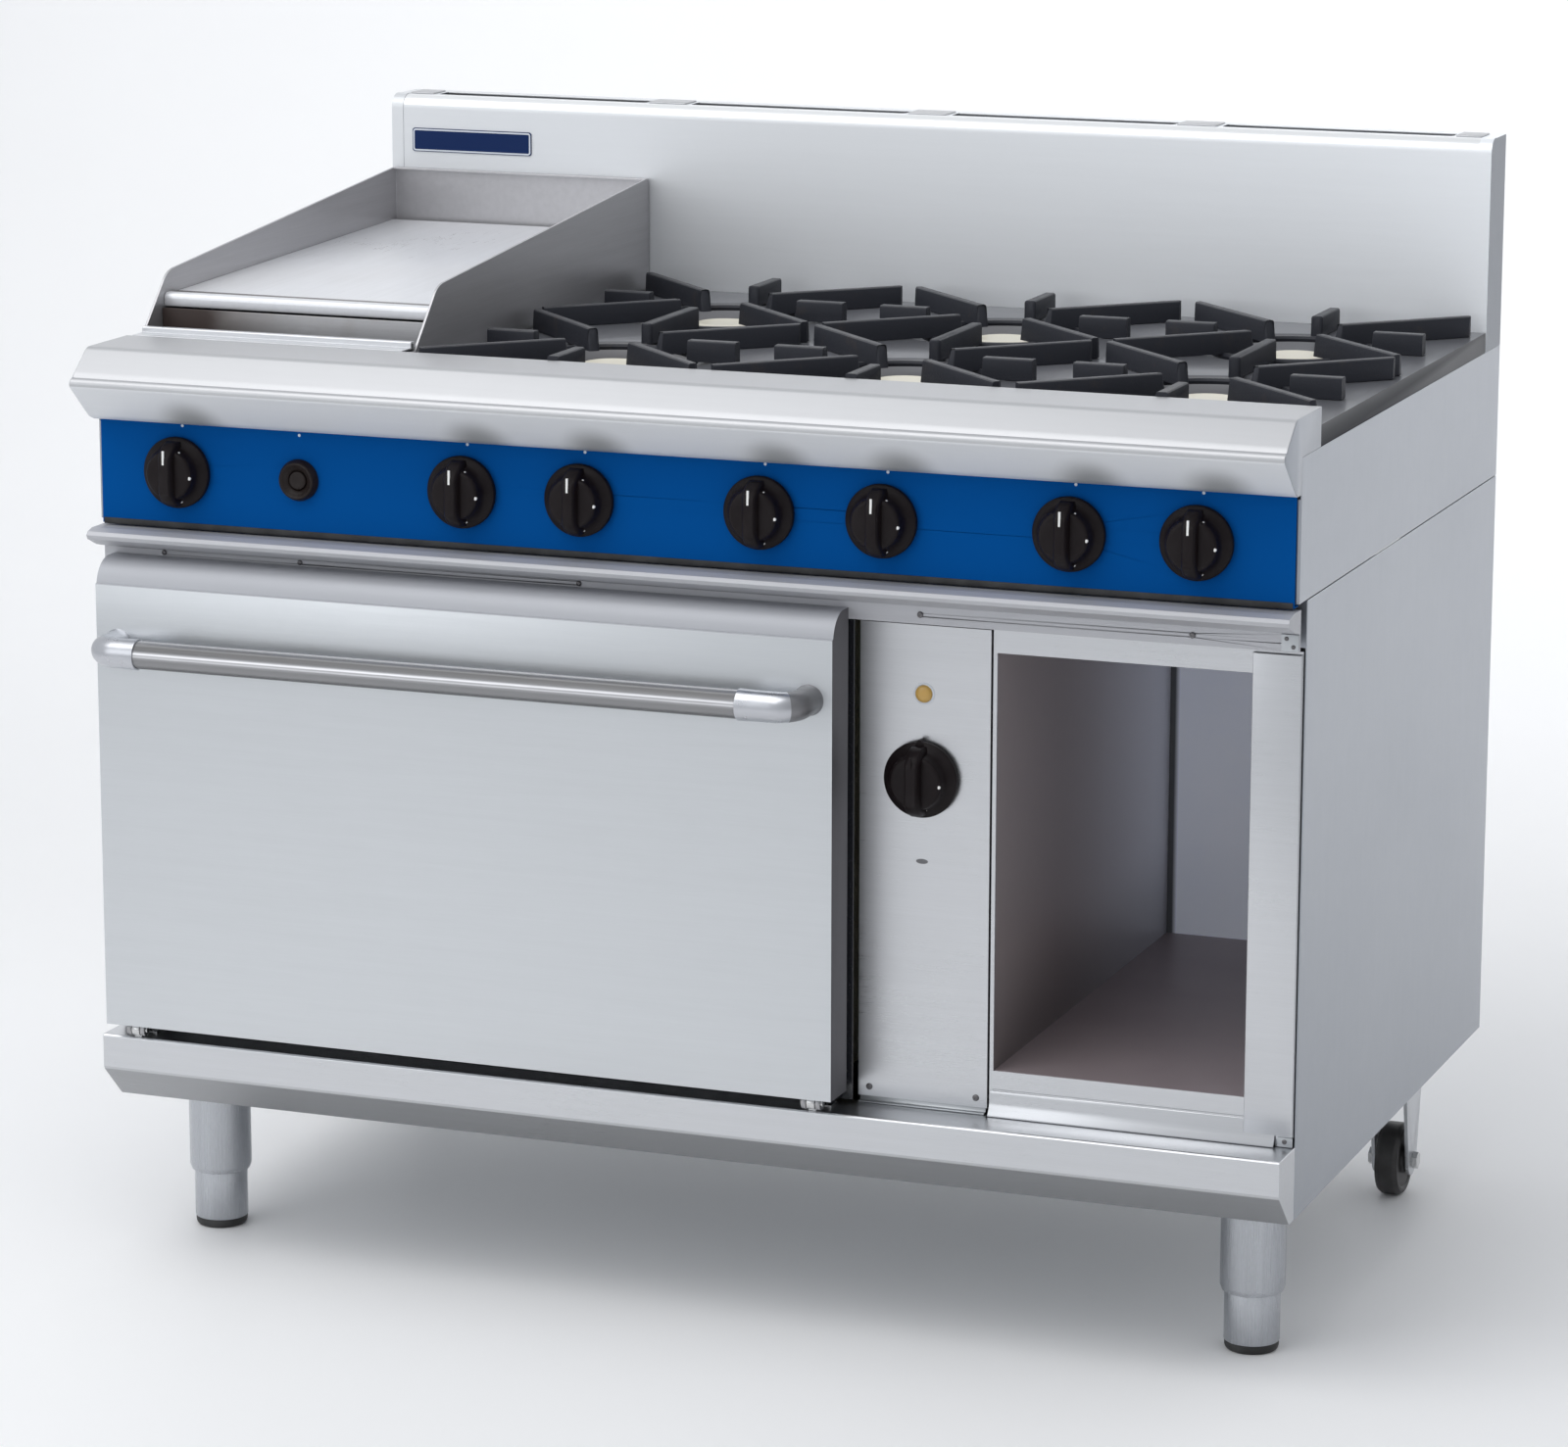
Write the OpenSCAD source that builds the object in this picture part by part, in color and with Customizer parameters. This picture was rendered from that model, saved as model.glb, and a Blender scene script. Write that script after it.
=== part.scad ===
// Commercial gas range on legs: hob with six open burners and a griddle,
// drop-door oven, open cupboard, splashback.
// Millimetres, +Z up, X across the width, front towards -Y.
// The origin is on the floor, under the middle of the footprint.

/* [Body] */
// Overall width across the side panels
width = 1200; // [1190:2:1230]
// Height of the hob's front rail above the floor
hob_h = 907; // [900:1:915]
// Height of the splashback's top above the floor
splash_h = 1083; // [1040:1:1120]
// Distance from the base rail's front to the back of the range
body_d = 762; // [750:1:780]
// How far the hob's front rail stands out in front of the base rail
nose_out = 34; // [30:1:38]
// Height of the body's underside above the floor
leg_h = 155; // [150:1:160]
// Thickness of the outer sheet metal
sheet = 1.5; // [1.2:0.1:1.6]

/* [Hob] */
// Height of the pot supports' top above the front rail's top
grid_rise = 4; // [2:0.5:8]
// Thickness of a pot support's fin
fin_t = 11; // [8:0.5:12]
// Gap between one pot support and the next
grid_gap = 16; // [12:1:20]
// Diameter of a burner cap
cap_d = 62; // [56:1:66]
// Distance between front and rear burner centres
burner_pitch = 296; // [290:1:298]

/* [Griddle] */
// Height of the griddle plate's top above the front rail's top
griddle_rise = 42; // [36:1:46]
// Thickness of the griddle plate
plate_t = 14; // [10:1:16]
// Thickness of the splash guard's sheet
guard_t = 2.5; // [2:0.1:3]

/* [Controls] */
// Diameter of a gas knob's skirt
knob_d = 69; // [58:1:72]
// Height of a gas knob in front of the fascia
knob_h = 32; // [26:1:36]
// Diameter of the oven knob's skirt
oven_knob_d = 72; // [66:1:76]
// Radial clearance of a knob on its spindle
knob_clear = 0.08; // [0.05:0.01:0.1]

/* [Oven] */
// Width of the oven door
door_w = 758; // [750:1:762]
// Height of the oven door
door_h = 463; // [455:1:465]
// Diameter of the door handle's bar
handle_d = 27; // [24:1:30]
// Distance from the door's face to the handle's centre line
handle_out = 40; // [36:1:46]
// Radius of the door's hinge pin
pin_r = 3; // [2.5:0.1:3.2]
// Radial clearance of the hinge pin in its lug
pin_clear = 0.05; // [0.03:0.01:0.09]

/* [Legs] */
// Diameter of the fixed leg sleeve
sleeve_d = 62; // [60:1:68]
// Diameter of the adjustable foot
foot_d = 53; // [50:1:54]
// Diameter of the rear roller
wheel_d = 75; // [70:1:80]
// Width of the rear roller
wheel_w = 27; // [24:1:30]

/* [Hidden] */
$fn = 48;
overlap = 0.01;

// ---- ranges: [low, high] along one axis ----------------------------------
function span(low, size) = [low, low + size];
function around(middle, reach) = [middle - reach, middle + reach];
function widen(range, by) = [range[0] - by, range[1] + by];
function middle(range) = (range[0] + range[1]) / 2;
function size(range) = range[1] - range[0];
// from near to far beyond a place, in the direction way (1 or -1)
function beyond(place, way, near, far) =
  way > 0 ? [place + near, place + far] : [place - far, place - near];

// ---- main places; Y is measured from the base rail's front ---------------
half_w = width / 2;
full_x = [-half_w, half_w];
module_w = width / 4; // one hob module
module_x = [for (i = [0:3]) (i - 1.5) * module_w]; // 0 is the griddle
nose_y = -nose_out;
door_y = -14; // door face
bar_y = door_y - handle_out; // handle centre line
front_y = bar_y - handle_d / 2; // foremost point
mid_y = (body_d + front_y) / 2; // middle of the footprint
fascia_y = 21; // control fascia's face
liner_y = 40; // face of the oven liner's flange
panel_y = 50; // face of the oven control panel and the cupboard frame
side_y = 52; // front edge of the lower side panels
splash_y = body_d - 61; // splashback's face
seam_z = 737; // lower body to hob body
lower_z = [leg_h, seam_z - 1]; // lower side panels
side_top_z = hob_h - 37; // top of the hob's side panels
deck_z = hob_h - 17; // hob deck's surface
grid_z = hob_h + grid_rise;
plate_z = hob_h + griddle_rise;
knob_z = hob_h - 119;
grid_y = 381; // middle of the pot supports
grid_l = 590;
burner_y = around(grid_y, burner_pitch / 2);
gas_x = concat([module_x[0] - 63], [for (m = [1:3], dx = [-64, 56]) module_x[m] + dx]);
igniter_x = module_x[0] + 65;
inlet_x = 470; // gas inlet
inlet_z = 655;
spindle_r = 3;

// ---- helpers -------------------------------------------------------------
// puts the middle of the footprint on the origin
module centred() translate([0, -mid_y, 0]) children();
module box(x, y, z) translate([x[0], y[0], z[0]]) cube([size(x), size(y), size(z)]);
// a (y, z) profile drawn out along X
module extrude_x(x) translate([x[0], 0, 0]) rotate([90, 0, 90])
  linear_extrude(size(x)) children();
// round bars; the coordinate along the bar is a range
module rod_x(x, y, z, r) translate([x[0], y, z]) rotate([0, 90, 0])
  cylinder(h = size(x), r = r);
module rod_y(x, y, z, r) translate([x, y[1], z]) rotate([90, 0, 0])
  cylinder(h = size(y), r = r);
module rod_z(x, y, z, r) translate([x, y, z[0]]) cylinder(h = size(z), r = r);
// turns a part's +Z to face the front
module face_front(x, y, z) translate([x, y, z]) rotate([90, 0, 0]) children();
// a part modelled on the right, mirrored for side -1
module on_side(side) mirror([side < 0 ? 1 : 0, 0, 0]) children();
module both_sides() {
  children();
  mirror([1, 0, 0]) children();
}
module rounded_rect(w, h, r) offset(r = r) square([w - 2 * r, h - 2 * r], center = true);
module open_tray(x, y, z, floor_t) difference() {
  box(x, y, z);
  box(widen(x, -1.5), widen(y, -1.5), [z[0] + floor_t, z[1] + 1]);
}
// n + 1 points of an arc in a profile
function arc(y, z, r, from, to, n) = [
  for (i = [0:n]) let (a = from + (to - from) * i / n) [y + r * cos(a), z + r * sin(a)]
];

// ---- body ----------------------------------------------------------------
// y, z
base_rail_prof = [
  [0, 192], [0, 223], [2, 225], [51.5, 225], [51.5, leg_h], [36, leg_h], [1, 189]
];
module base_front_rail() color("silver") centred() difference() {
  extrude_x(full_x) polygon(base_rail_prof);
  extrude_x(widen(full_x, -2)) offset(delta = -2) polygon(base_rail_prof);
  box(widen(full_x, -12), [48, 60], [leg_h + 12, 213]);
}

module bottom_pan() color("silver") centred()
  open_tray(widen(full_x, -4), [side_y, body_d - 5], span(leg_h, 25), 2);

module side_panel(side) color("silver") centred() on_side(side) {
  box([half_w - sheet, half_w], [side_y, body_d], lower_z);
  box([half_w - 18, half_w - overlap], [body_d - sheet, body_d], lower_z);
  box([half_w - 12, half_w - overlap], span(side_y, sheet), [692, lower_z[1]]);
}
module side_panel_left() side_panel(-1);
module side_panel_right() side_panel(1);

module hob_side_panels() color("silver") centred() both_sides() {
  box([half_w - sheet, half_w], [24, body_d], [seam_z, side_top_z]);
  // front and top flanges
  box([half_w - 15, half_w - overlap], span(24, sheet), [seam_z, side_top_z - 38]);
  box([half_w - 14, half_w - overlap], [68, splash_y - 2], span(side_top_z - 14, sheet));
}

module rear_panel() color("lightgrey") centred() difference() {
  box(widen(full_x, -2), [body_d - 3.2, body_d - 1.7], [leg_h + 1, side_top_z - 1]);
  for (i = [0:7], k = [0:3])
    box(span(-520 + i * 132, 80), [body_d - 5, body_d], span(500 + k * 30, 8));
  rod_y(inlet_x, [body_d - 10, body_d], inlet_z, 34);
}

function splash_prof(inset, bottom) = concat(
  [[splash_y + inset, bottom]],
  arc(splash_y + 14, splash_h - 14, 14 - inset, 180, 90, 5),
  [[body_d - inset, splash_h - inset], [body_d - inset, bottom]]
);
module splashback() color("gainsboro") centred() difference() {
  extrude_x(full_x) polygon(splash_prof(0, side_top_z));
  extrude_x(widen(full_x, -sheet)) polygon(splash_prof(sheet, side_top_z - 1));
  // slots in the top
  for (m = [-1.5, -0.5, 0.5, 1.5])
    box(around(m * (module_w - 10), 120), [splash_y + 20, splash_y + 46],
      [splash_h - 8, splash_h + 1]);
}

module badge_plate() color("midnightblue") centred()
  face_front(-half_w + 93, splash_y, splash_h - 47)
    linear_extrude(1.2) rounded_rect(138, 25, 3);

// y, z; from the top's back edge, round the nose, to the underside
bullnose_prof = concat(
  [[85, hob_h]],
  arc(8, hob_h - 14, 14, 90, 128, 5),
  [[nose_y + 9, hob_h - 22.5], [nose_y + 7.5, hob_h - 25]],
  arc(nose_y + 5.5, hob_h - 31.5, 5.5, 104, 225, 6),
  [[0, hob_h - 64.5], [4, hob_h - 68], [12, hob_h - 71], [24, hob_h - 71]],
  [[24, hob_h - 36.5], [85, hob_h - 36.5]]
);
module bullnose_rail() color("gainsboro") centred() difference() {
  extrude_x(full_x) polygon(bullnose_prof);
  extrude_x(widen(full_x, -2)) offset(delta = -1.6) polygon(bullnose_prof);
  box(widen(full_x, -10), [60, 90], [hob_h - 32, hob_h - 8]);
  for (x = [-240, 0, 240]) box(around(x, 30), [26, 60], [hob_h - 45, hob_h - 30]);
}

fascia_x = widen(full_x, -3.5);
fascia_z = [733.5, hob_h - 72];
module control_fascia() color("steelblue") centred() difference() {
  union() {
    box(fascia_x, span(fascia_y, sheet), fascia_z);
    box(fascia_x, span(fascia_y, 12), span(fascia_z[0], sheet));
  }
  for (x = gas_x) rod_y(x, [fascia_y - 1, fascia_y + 5], knob_z, 6);
  rod_y(igniter_x, [fascia_y - 1, fascia_y + 5], knob_z, 13.3);
}

// y, z of the header rail's outside and of its hollow
header_prof = [
  [31, 731], [4, 731], [-5, 728.5], [-8, 725], [-6, 721], [12, 713],
  [29, 709], [29, 692], [31, 692]
];
header_hollow = [
  [29.5, 729.5], [4.2, 729.5], [-4.5, 727.2], [-6.2, 725], [-5, 722.3],
  [12.3, 714.6], [29.5, 710.5]
];
// x, z
header_screws = [
  [-535, 706.2], [-390, 706.2], [-100, 706.2], [240, 701], [500, 701], [585, 701]
];
module header_rail() color("silver") centred() difference() {
  extrude_x(full_x) polygon(header_prof);
  extrude_x(widen(full_x, -2)) polygon(header_hollow);
  box(widen(full_x, -12), [29, 32], [713, 728]);
  for (s = header_screws) rod_y(s[0], [20, 40], s[1], 1.6);
}

// ---- hob -----------------------------------------------------------------
deck_x = [module_x[1] - module_w / 2 + 2, half_w - 0.5];
deck_y = [87, splash_y - 1];
deck_t = 2;
skirt_z = [side_top_z + 0.5, deck_z];
module at_burners() for (m = [1:3], y = burner_y) translate([module_x[m], y, 0]) children();

module hob_deck() color("dimgrey") centred() difference() {
  union() {
    box(deck_x, deck_y, [deck_z - deck_t, deck_z]);
    for (x = [deck_x[0], deck_x[1] - deck_t]) box(span(x, deck_t), deck_y, skirt_z);
    for (y = [deck_y[0], deck_y[1] - deck_t]) box(deck_x, span(y, deck_t), skirt_z);
    // dished wells
    at_burners() translate([0, 0, deck_z - 20]) cylinder(h = 20, r1 = 74, r2 = 104);
  }
  at_burners() {
    translate([0, 0, deck_z - 18]) cylinder(h = 18 + overlap, r1 = 72, r2 = 101);
    rod_z(0, 0, [deck_z - 30, deck_z], 45);
  }
}

// radius, height from the deck
burner_prof = [
  [0, -58], [16, -58], [20, -48], [36, -38], [40, -30], [40, -22], [34, -20],
  [30, -14.2], [0, -14.2]
];
// one cast burner: head, and a mixing tube to its right (rear) or left (front)
module burner(x, y) {
  side = y > grid_y ? 1 : -1;
  tube_x = x + side * 36;
  tube_y = 88;
  tube_z = deck_z - 62;
  translate([x, y, 0]) difference() {
    rotate_extrude() polygon([for (p = burner_prof) [p[0], deck_z + p[1]]]);
    translate([0, 0, deck_z - 44]) cylinder(h = 40, r = 22);
    // flame ports
    for (a = [0:20:340]) rotate([0, 0, a]) rod_x([20, 44], 0, deck_z - 17, 1.6, $fn = 16);
  }
  difference() {
    rod_y(tube_x, [tube_y, y + 10], tube_z, 14);
    rod_y(tube_x, [tube_y - 1, y], tube_z, 10);
  }
  box(beyond(x, side, 0, 36), [y - 12, y + 9], [deck_z - 68, deck_z - 47]);
}
module burner_bodies() color("darkgrey") centred()
  for (m = [1:3], y = burner_y) burner(module_x[m], y);

module burner_caps() color("ivory") centred() at_burners() rotate_extrude() polygon([
  [0, deck_z - 14], [cap_d / 2 - 2, deck_z - 14], [cap_d / 2, deck_z - 12],
  [cap_d / 2, deck_z - 9], [cap_d / 2 - 3, deck_z - 6], [0, deck_z - 5]
]);

fin_l = 170;
grid_foot_z = deck_z + 0.6; // underside of a pot support on the deck
// one fin with its tip at x = 0, running out along +X
module fin() rotate([90, 0, 0]) translate([0, 0, -fin_t / 2]) linear_extrude(fin_t) polygon([
  [0, grid_z], [fin_l, grid_z], [fin_l, grid_foot_z], [50, grid_foot_z],
  [37, deck_z - 5], [12, deck_z - 5]
]);
module pot_support(m) color([0.17, 0.17, 0.18]) centred()
  translate([module_x[m], grid_y, 0]) intersection() {
    union() for (s = [-1, 1]) translate([0, s * burner_pitch / 2, 0]) {
      for (a = [45, 135, 225, 315]) rotate([0, 0, a]) translate([46, 0, 0]) fin();
      for (a = [0, 180]) rotate([0, 0, a]) box([80, 130], [-7, 7], [grid_foot_z, grid_z]);
      for (a = [90, 270]) rotate([0, 0, a]) box([80, 168], [-6, 6], [grid_foot_z, grid_z]);
      // ring that ties the fins together, down in the dished well
      translate([0, 0, deck_z - 5]) difference() {
        cylinder(h = 12, r = 84);
        translate([0, 0, -1]) cylinder(h = 14, r = 75);
      }
    }
    // trims the fins to the support's outline
    translate([0, 0, deck_z - 20]) linear_extrude(60)
      square([module_w - grid_gap, grid_l], center = true);
  }
module pot_support_left() pot_support(1);
module pot_support_centre() pot_support(2);
module pot_support_right() pot_support(3);

// ---- gas train -----------------------------------------------------------
pipe_r = 13;
pipe_bore_r = 10;
pipe_y = 46; // pipe behind the fascia
pipe_z = knob_z - 31;
drop_y = 700; // upright pipe at the back
module gas_manifold() color("goldenrod") centred() difference() {
  union() {
    rod_x([gas_x[0] - 30, gas_x[6] + 20], pipe_y, pipe_z, pipe_r);
    rod_y(inlet_x, [pipe_y, 712], pipe_z, pipe_r);
    rod_z(inlet_x, drop_y, [inlet_z, pipe_z], pipe_r);
    for (z = [pipe_z, inlet_z]) translate([inlet_x, drop_y, z]) sphere(r = pipe_r);
    rod_y(inlet_x, [drop_y, 717.5], inlet_z, 12.2);
    rod_y(inlet_x, [717, 737], inlet_z, 13.2);
    for (x = gas_x) rod_z(x, pipe_y, [pipe_z, knob_z - 15.1], 6);
  }
  rod_x([gas_x[0] - 26, gas_x[6] + 16], pipe_y, pipe_z, pipe_bore_r);
  rod_y(inlet_x, [pipe_y, drop_y], pipe_z, pipe_bore_r);
  rod_z(inlet_x, drop_y, [inlet_z, pipe_z], pipe_bore_r);
  rod_y(inlet_x, [drop_y, 738], inlet_z, pipe_bore_r);
}

module gas_valves() color("darkkhaki") centred() for (x = gas_x) {
  box(around(x, 13), [32, 60], [knob_z - 15, knob_z + 14]);
  rod_y(x, [24, 32.5], knob_z, 9);
  rod_y(x, [-1, 24.5], knob_z, spindle_r);
  rod_y(x, [59.5, 78], knob_z + 4, 5);
}

button_r = 9;
button_bore_r = button_r + 0.06;
module igniter_body() color([0.1, 0.1, 0.1]) centred() difference() {
  union() {
    rod_y(igniter_x, [20, 70], knob_z, 13);
    face_front(igniter_x, fascia_y - 0.1, knob_z)
      rotate_extrude() polygon([[0, 0], [20, 0], [20, 3], [17, 9], [0, 9]]);
  }
  rod_y(igniter_x, [0, 60], knob_z, button_bore_r);
  face_front(igniter_x, fascia_y - 6, knob_z) cylinder(h = 8, r1 = button_bore_r, r2 = 15);
}
module igniter_button() color([0.2, 0.14, 0.12]) centred() union() {
  rod_y(igniter_x, [17, 44], knob_z, button_r);
  face_front(igniter_x, 17.5, knob_z) cylinder(h = 2, r1 = button_r, r2 = 7);
}

// ---- griddle -------------------------------------------------------------
griddle_x = [-half_w + 3, module_x[0] + module_w / 2 - 3]; // outside of the guard
guard_back_y = splash_y - 2;
guard_top_z = hob_h + 99;
plate_under_z = plate_z - plate_t;

module griddle_plate() color("silver") centred()
  extrude_x(widen(griddle_x, -guard_t - 0.5)) polygon([
    [158, plate_under_z - 9], [155, plate_under_z - 6], [155, plate_z - 14],
    [157, plate_z - 10.5], [161, plate_z - 9], [166, plate_z - 9.5], [170, plate_z - 11],
    [splash_y - 14, plate_z + 2], [splash_y - 14, plate_under_z + 2]
  ]);

// y, z
guard_prof = concat(
  [[90, side_top_z + 0.5], [90, hob_h - 3], [110, hob_h - 3], [133, hob_h + 21]],
  [[153, hob_h + 42]],
  arc(180, hob_h + 20, 35, 133, 96, 5),
  [[splash_y - 10, guard_top_z], [guard_back_y, guard_top_z]],
  [[guard_back_y, side_top_z + 0.5]]
);
module griddle_guard() color("grey") centred() {
  for (x = [griddle_x[0], griddle_x[1] - guard_t])
    extrude_x(span(x, guard_t)) polygon(guard_prof);
  box(griddle_x, [guard_back_y - guard_t, guard_back_y], [side_top_z + 0.5, guard_top_z]);
  // lip along the top of the back
  box(griddle_x, [splash_y - 10, guard_back_y], [guard_top_z - 2, guard_top_z]);
}

// y, z
trough_prof = [
  [114, hob_h - 9], [150, hob_h - 9], [150, plate_under_z - 9.5],
  [152, plate_under_z - 9.5], [152, hob_h - 11], [112, hob_h - 11], [112, hob_h + 4],
  [108, hob_h + 4], [108, hob_h - 1], [85.5, hob_h - 1], [85.5, hob_h + 0.5],
  [106, hob_h + 0.5], [106, hob_h + 5], [107, hob_h + 6], [113, hob_h + 6],
  [114, hob_h + 5]
];
spout_x = griddle_x[0] + 26;
spout_y = 131;
module griddle_trough() color("silver") centred() difference() {
  union() {
    extrude_x(widen(griddle_x, -guard_t - 0.4)) polygon(trough_prof);
    translate([spout_x, spout_y, hob_h - 26]) linear_extrude(16)
      square([34, 36], center = true);
  }
  translate([spout_x, spout_y, hob_h - 30]) linear_extrude(30)
    square([31, 33], center = true);
}

griddle_pipe_z = deck_z - 18;
module griddle_burner() color("darkgrey") centred() {
  for (x = [-520, -450, -380]) difference() {
    rod_y(x, [190, 640], griddle_pipe_z, 14);
    rod_y(x, [189, 636], griddle_pipe_z, 12.5);
    for (y = [220:40:620]) rod_z(x, y, [griddle_pipe_z, deck_z], 2.2, $fn = 16);
  }
  // hollow box that joins the three pipes at the front
  difference() {
    box([-536, -364], [160, 191], [deck_z - 34, deck_z - 2]);
    box([-533, -367], [163, 192], [deck_z - 31, deck_z - 5]);
    rod_y(module_x[0], [150, 170], griddle_pipe_z, 8);
  }
}

module grease_box() color("silver") centred() open_tray(
  [griddle_x[0] + 12, griddle_x[0] + 120], [90, 148], [side_top_z - 60, side_top_z + 5], 1.5);

// ---- oven ----------------------------------------------------------------
cavity_x = [-540, 122];
cavity_z = [270, 660];
panel_x = [174, 302]; // oven control panel
panel_z = [231, 687];
rack_z = [375, 535];
oven_knob_x = 236;
oven_knob_z = 542;
lamp_x = 237;
lamp_z = 622.5;
lamp_r = 8;

module oven_liner() color("dimgrey") centred() difference() {
  union() {
    box([-half_w + 3, panel_x[0] - 2], span(liner_y, 1.5), [228, 698]);
    box(widen(cavity_x, 1.5), [liner_y + 1, 640], widen(cavity_z, 1.5));
  }
  box(cavity_x, [30, 638.5], cavity_z);
}

module oven_insulation() color("khaki") centred() difference() {
  box(widen(cavity_x, 28), [62, 666], [cavity_z[0] - 26, cavity_z[1] + 27]);
  box(widen(cavity_x, 2), [60, 640.5], widen(cavity_z, 2));
}

module rack_guides() color("silver") centred() for (side = [0, 1]) {
  wall = cavity_x[side];
  way = side == 0 ? 1 : -1;
  // two upright strips on the cavity's wall carry five wires
  for (y = [90, 575]) box(beyond(wall, way, 0.3, 5.7), around(y, 4), widen(cavity_z, -15));
  for (z = [295, rack_z[0] - 6.6, 455, rack_z[1] - 6.6, 615])
    rod_y(wall + way * 8, [70, 600], z, 3);
}

rack_x = widen(cavity_x, -10);
module oven_racks() color("gainsboro") centred() for (z = rack_z) union() {
  for (x = rack_x) rod_y(x, [72, 598], z, 3.5);
  for (y = [80, 335, 590]) rod_x(rack_x, y, z, 3);
  for (i = [1:13]) rod_y(rack_x[0] + i * size(rack_x) / 14, [76, 594], z + 3.4, 2.2);
}

// a rod bent to and fro; its two end runs go on to the back wall
module element(z) {
  runs = 6;
  pitch = 96;
  rod_r = 4;
  bend_y = [120, 560];
  first_x = middle(cavity_x) - (runs - 1) * pitch / 2;
  for (i = [0:runs - 1])
    rod_y(first_x + i * pitch, [bend_y[0], i == 0 || i == runs - 1 ? 638 : bend_y[1]], z, rod_r);
  for (i = [0:runs - 2])
    translate([first_x + (i + 0.5) * pitch, bend_y[i % 2], z])
      rotate([0, 0, i % 2 == 0 ? 180 : 0])
        rotate_extrude(angle = 180) translate([pitch / 2, 0]) circle(r = rod_r);
}
module oven_elements() color("dimgrey") centred() {
  element(cavity_z[0] + 8);
  element(cavity_z[1] - 10);
}

module oven_control_panel() color("gainsboro") centred() difference() {
  union() {
    box(panel_x, span(panel_y, sheet), panel_z);
    for (x = [panel_x[0], panel_x[1] - sheet]) box(span(x, sheet), span(panel_y, 22), panel_z);
    for (z = [panel_z[0], panel_z[1] - sheet]) box(panel_x, span(panel_y, 22), span(z, sheet));
  }
  rod_y(oven_knob_x, [panel_y - 1, panel_y + 3], oven_knob_z, 9);
  rod_y(lamp_x, [panel_y - 1, panel_y + 3], lamp_z, lamp_r + 0.1);
}

module thermostat() color("lightgrey") centred() {
  box(around(oven_knob_x, 28), [62, 108], around(oven_knob_z, 28));
  rod_y(oven_knob_x, [51, 62.5], oven_knob_z, 8);
  rod_y(oven_knob_x, [28, 52], oven_knob_z, spindle_r);
}

module indicator_lamp() color("orange") centred() union() {
  rod_y(lamp_x, [49, 80], lamp_z, lamp_r);
  face_front(lamp_x, 49.8, lamp_z) cylinder(h = 2.2, r1 = 9.5, r2 = 8.4);
  face_front(lamp_x, 47.7, lamp_z) cylinder(h = 2, r1 = lamp_r, r2 = 5.5);
}

module door_seal() color([0.12, 0.12, 0.12]) centred()
  face_front(middle(cavity_x), liner_y, middle(cavity_z)) linear_extrude(11.6) difference() {
    rounded_rect(size(cavity_x) + 42, size(cavity_z) + 42, 14);
    rounded_rect(size(cavity_x) + 18, size(cavity_z) + 18, 6);
  }

// ---- oven door -----------------------------------------------------------
door_x = span(-half_w + 12, door_w);
door_z = span(240, door_h);
hinge_x = widen(door_x, -25);
hinge_y = 4;
hinge_z = 232.5;
bar_z = 622;

// the door's side profile, shrunk by inset for the hollow
function door_prof(inset) = concat(
  [[door_y + inset, door_z[0] + inset], [door_y + inset, door_z[1] - 23]],
  arc(15, door_z[1] - 27, 27 - inset, 172, 92, 6),
  [[28 + 2 * inset, door_z[1] - inset], [28 + 2 * inset, door_z[0] + inset]]
);
module door_outer() color("gainsboro") centred() difference() {
  extrude_x(door_x) polygon(door_prof(0));
  extrude_x(widen(door_x, -sheet)) polygon(door_prof(sheet));
  for (x = hinge_x) box(around(x, 14), [-6, 20], [door_z[0] - 1, door_z[0] + 3]);
}

// one of a hinge's two cheeks
module hinge_cheek(x) {
  rod_x(x, hinge_y, hinge_z, 6.3);
  box(x, [hinge_y - 5, hinge_y + 6], [hinge_z, door_z[0] + 40]);
  box(x, [hinge_y - 5, 27], [door_z[0] + 4, door_z[0] + 40]);
}
module door_inner() color("silver") centred() difference() {
  union() {
    box(widen(door_x, -sheet - 0.2), [26.5, 28],
      [door_z[0] + sheet + 0.2, door_z[1] - sheet - 0.3]);
    box(widen(cavity_x, -16), [26.5, 36], widen(cavity_z, -16));
    for (x = hinge_x, way = [-1, 1]) hinge_cheek(beyond(x, way, 4.6, 9.6));
  }
  box(widen(cavity_x, -18), [20, 34.5], widen(cavity_z, -18));
  for (x = hinge_x) rod_x(around(x, 12), hinge_y, hinge_z, pin_r + 0.02);
}

module door_insulation() color("khaki") centred() difference() {
  box(widen(door_x, -4), [door_y + 2.5, 26], [door_z[0] + 5, door_z[1] - 28]);
  for (x = hinge_x) box(around(x, 13), [-5, 27], span(door_z[0], 45));
}

module hinge_pins() color("silver") centred()
  for (x = hinge_x) rod_x(around(x, 11), hinge_y, hinge_z, pin_r);

module hinge_lugs() color("white") centred() for (x = hinge_x) difference() {
  union() {
    rod_x(around(x, 4), hinge_y, hinge_z, 6.4);
    box(around(x, 4), span(hinge_y, 22), [225, 231]);
    box(around(x, 4), span(hinge_y, 6), [225, hinge_z]);
    box(around(x, 14), [hinge_y + 12, hinge_y + 30], [225, 227.5]);
  }
  rod_x(around(x, 5), hinge_y, hinge_z, pin_r + pin_clear);
}

module handle_bar() color("silver") centred() difference() {
  rod_x(widen(hinge_x, -36), bar_y, bar_z, handle_d / 2);
  rod_x(widen(hinge_x, -35), bar_y, bar_z, handle_d / 2 - 1.5);
}

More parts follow.
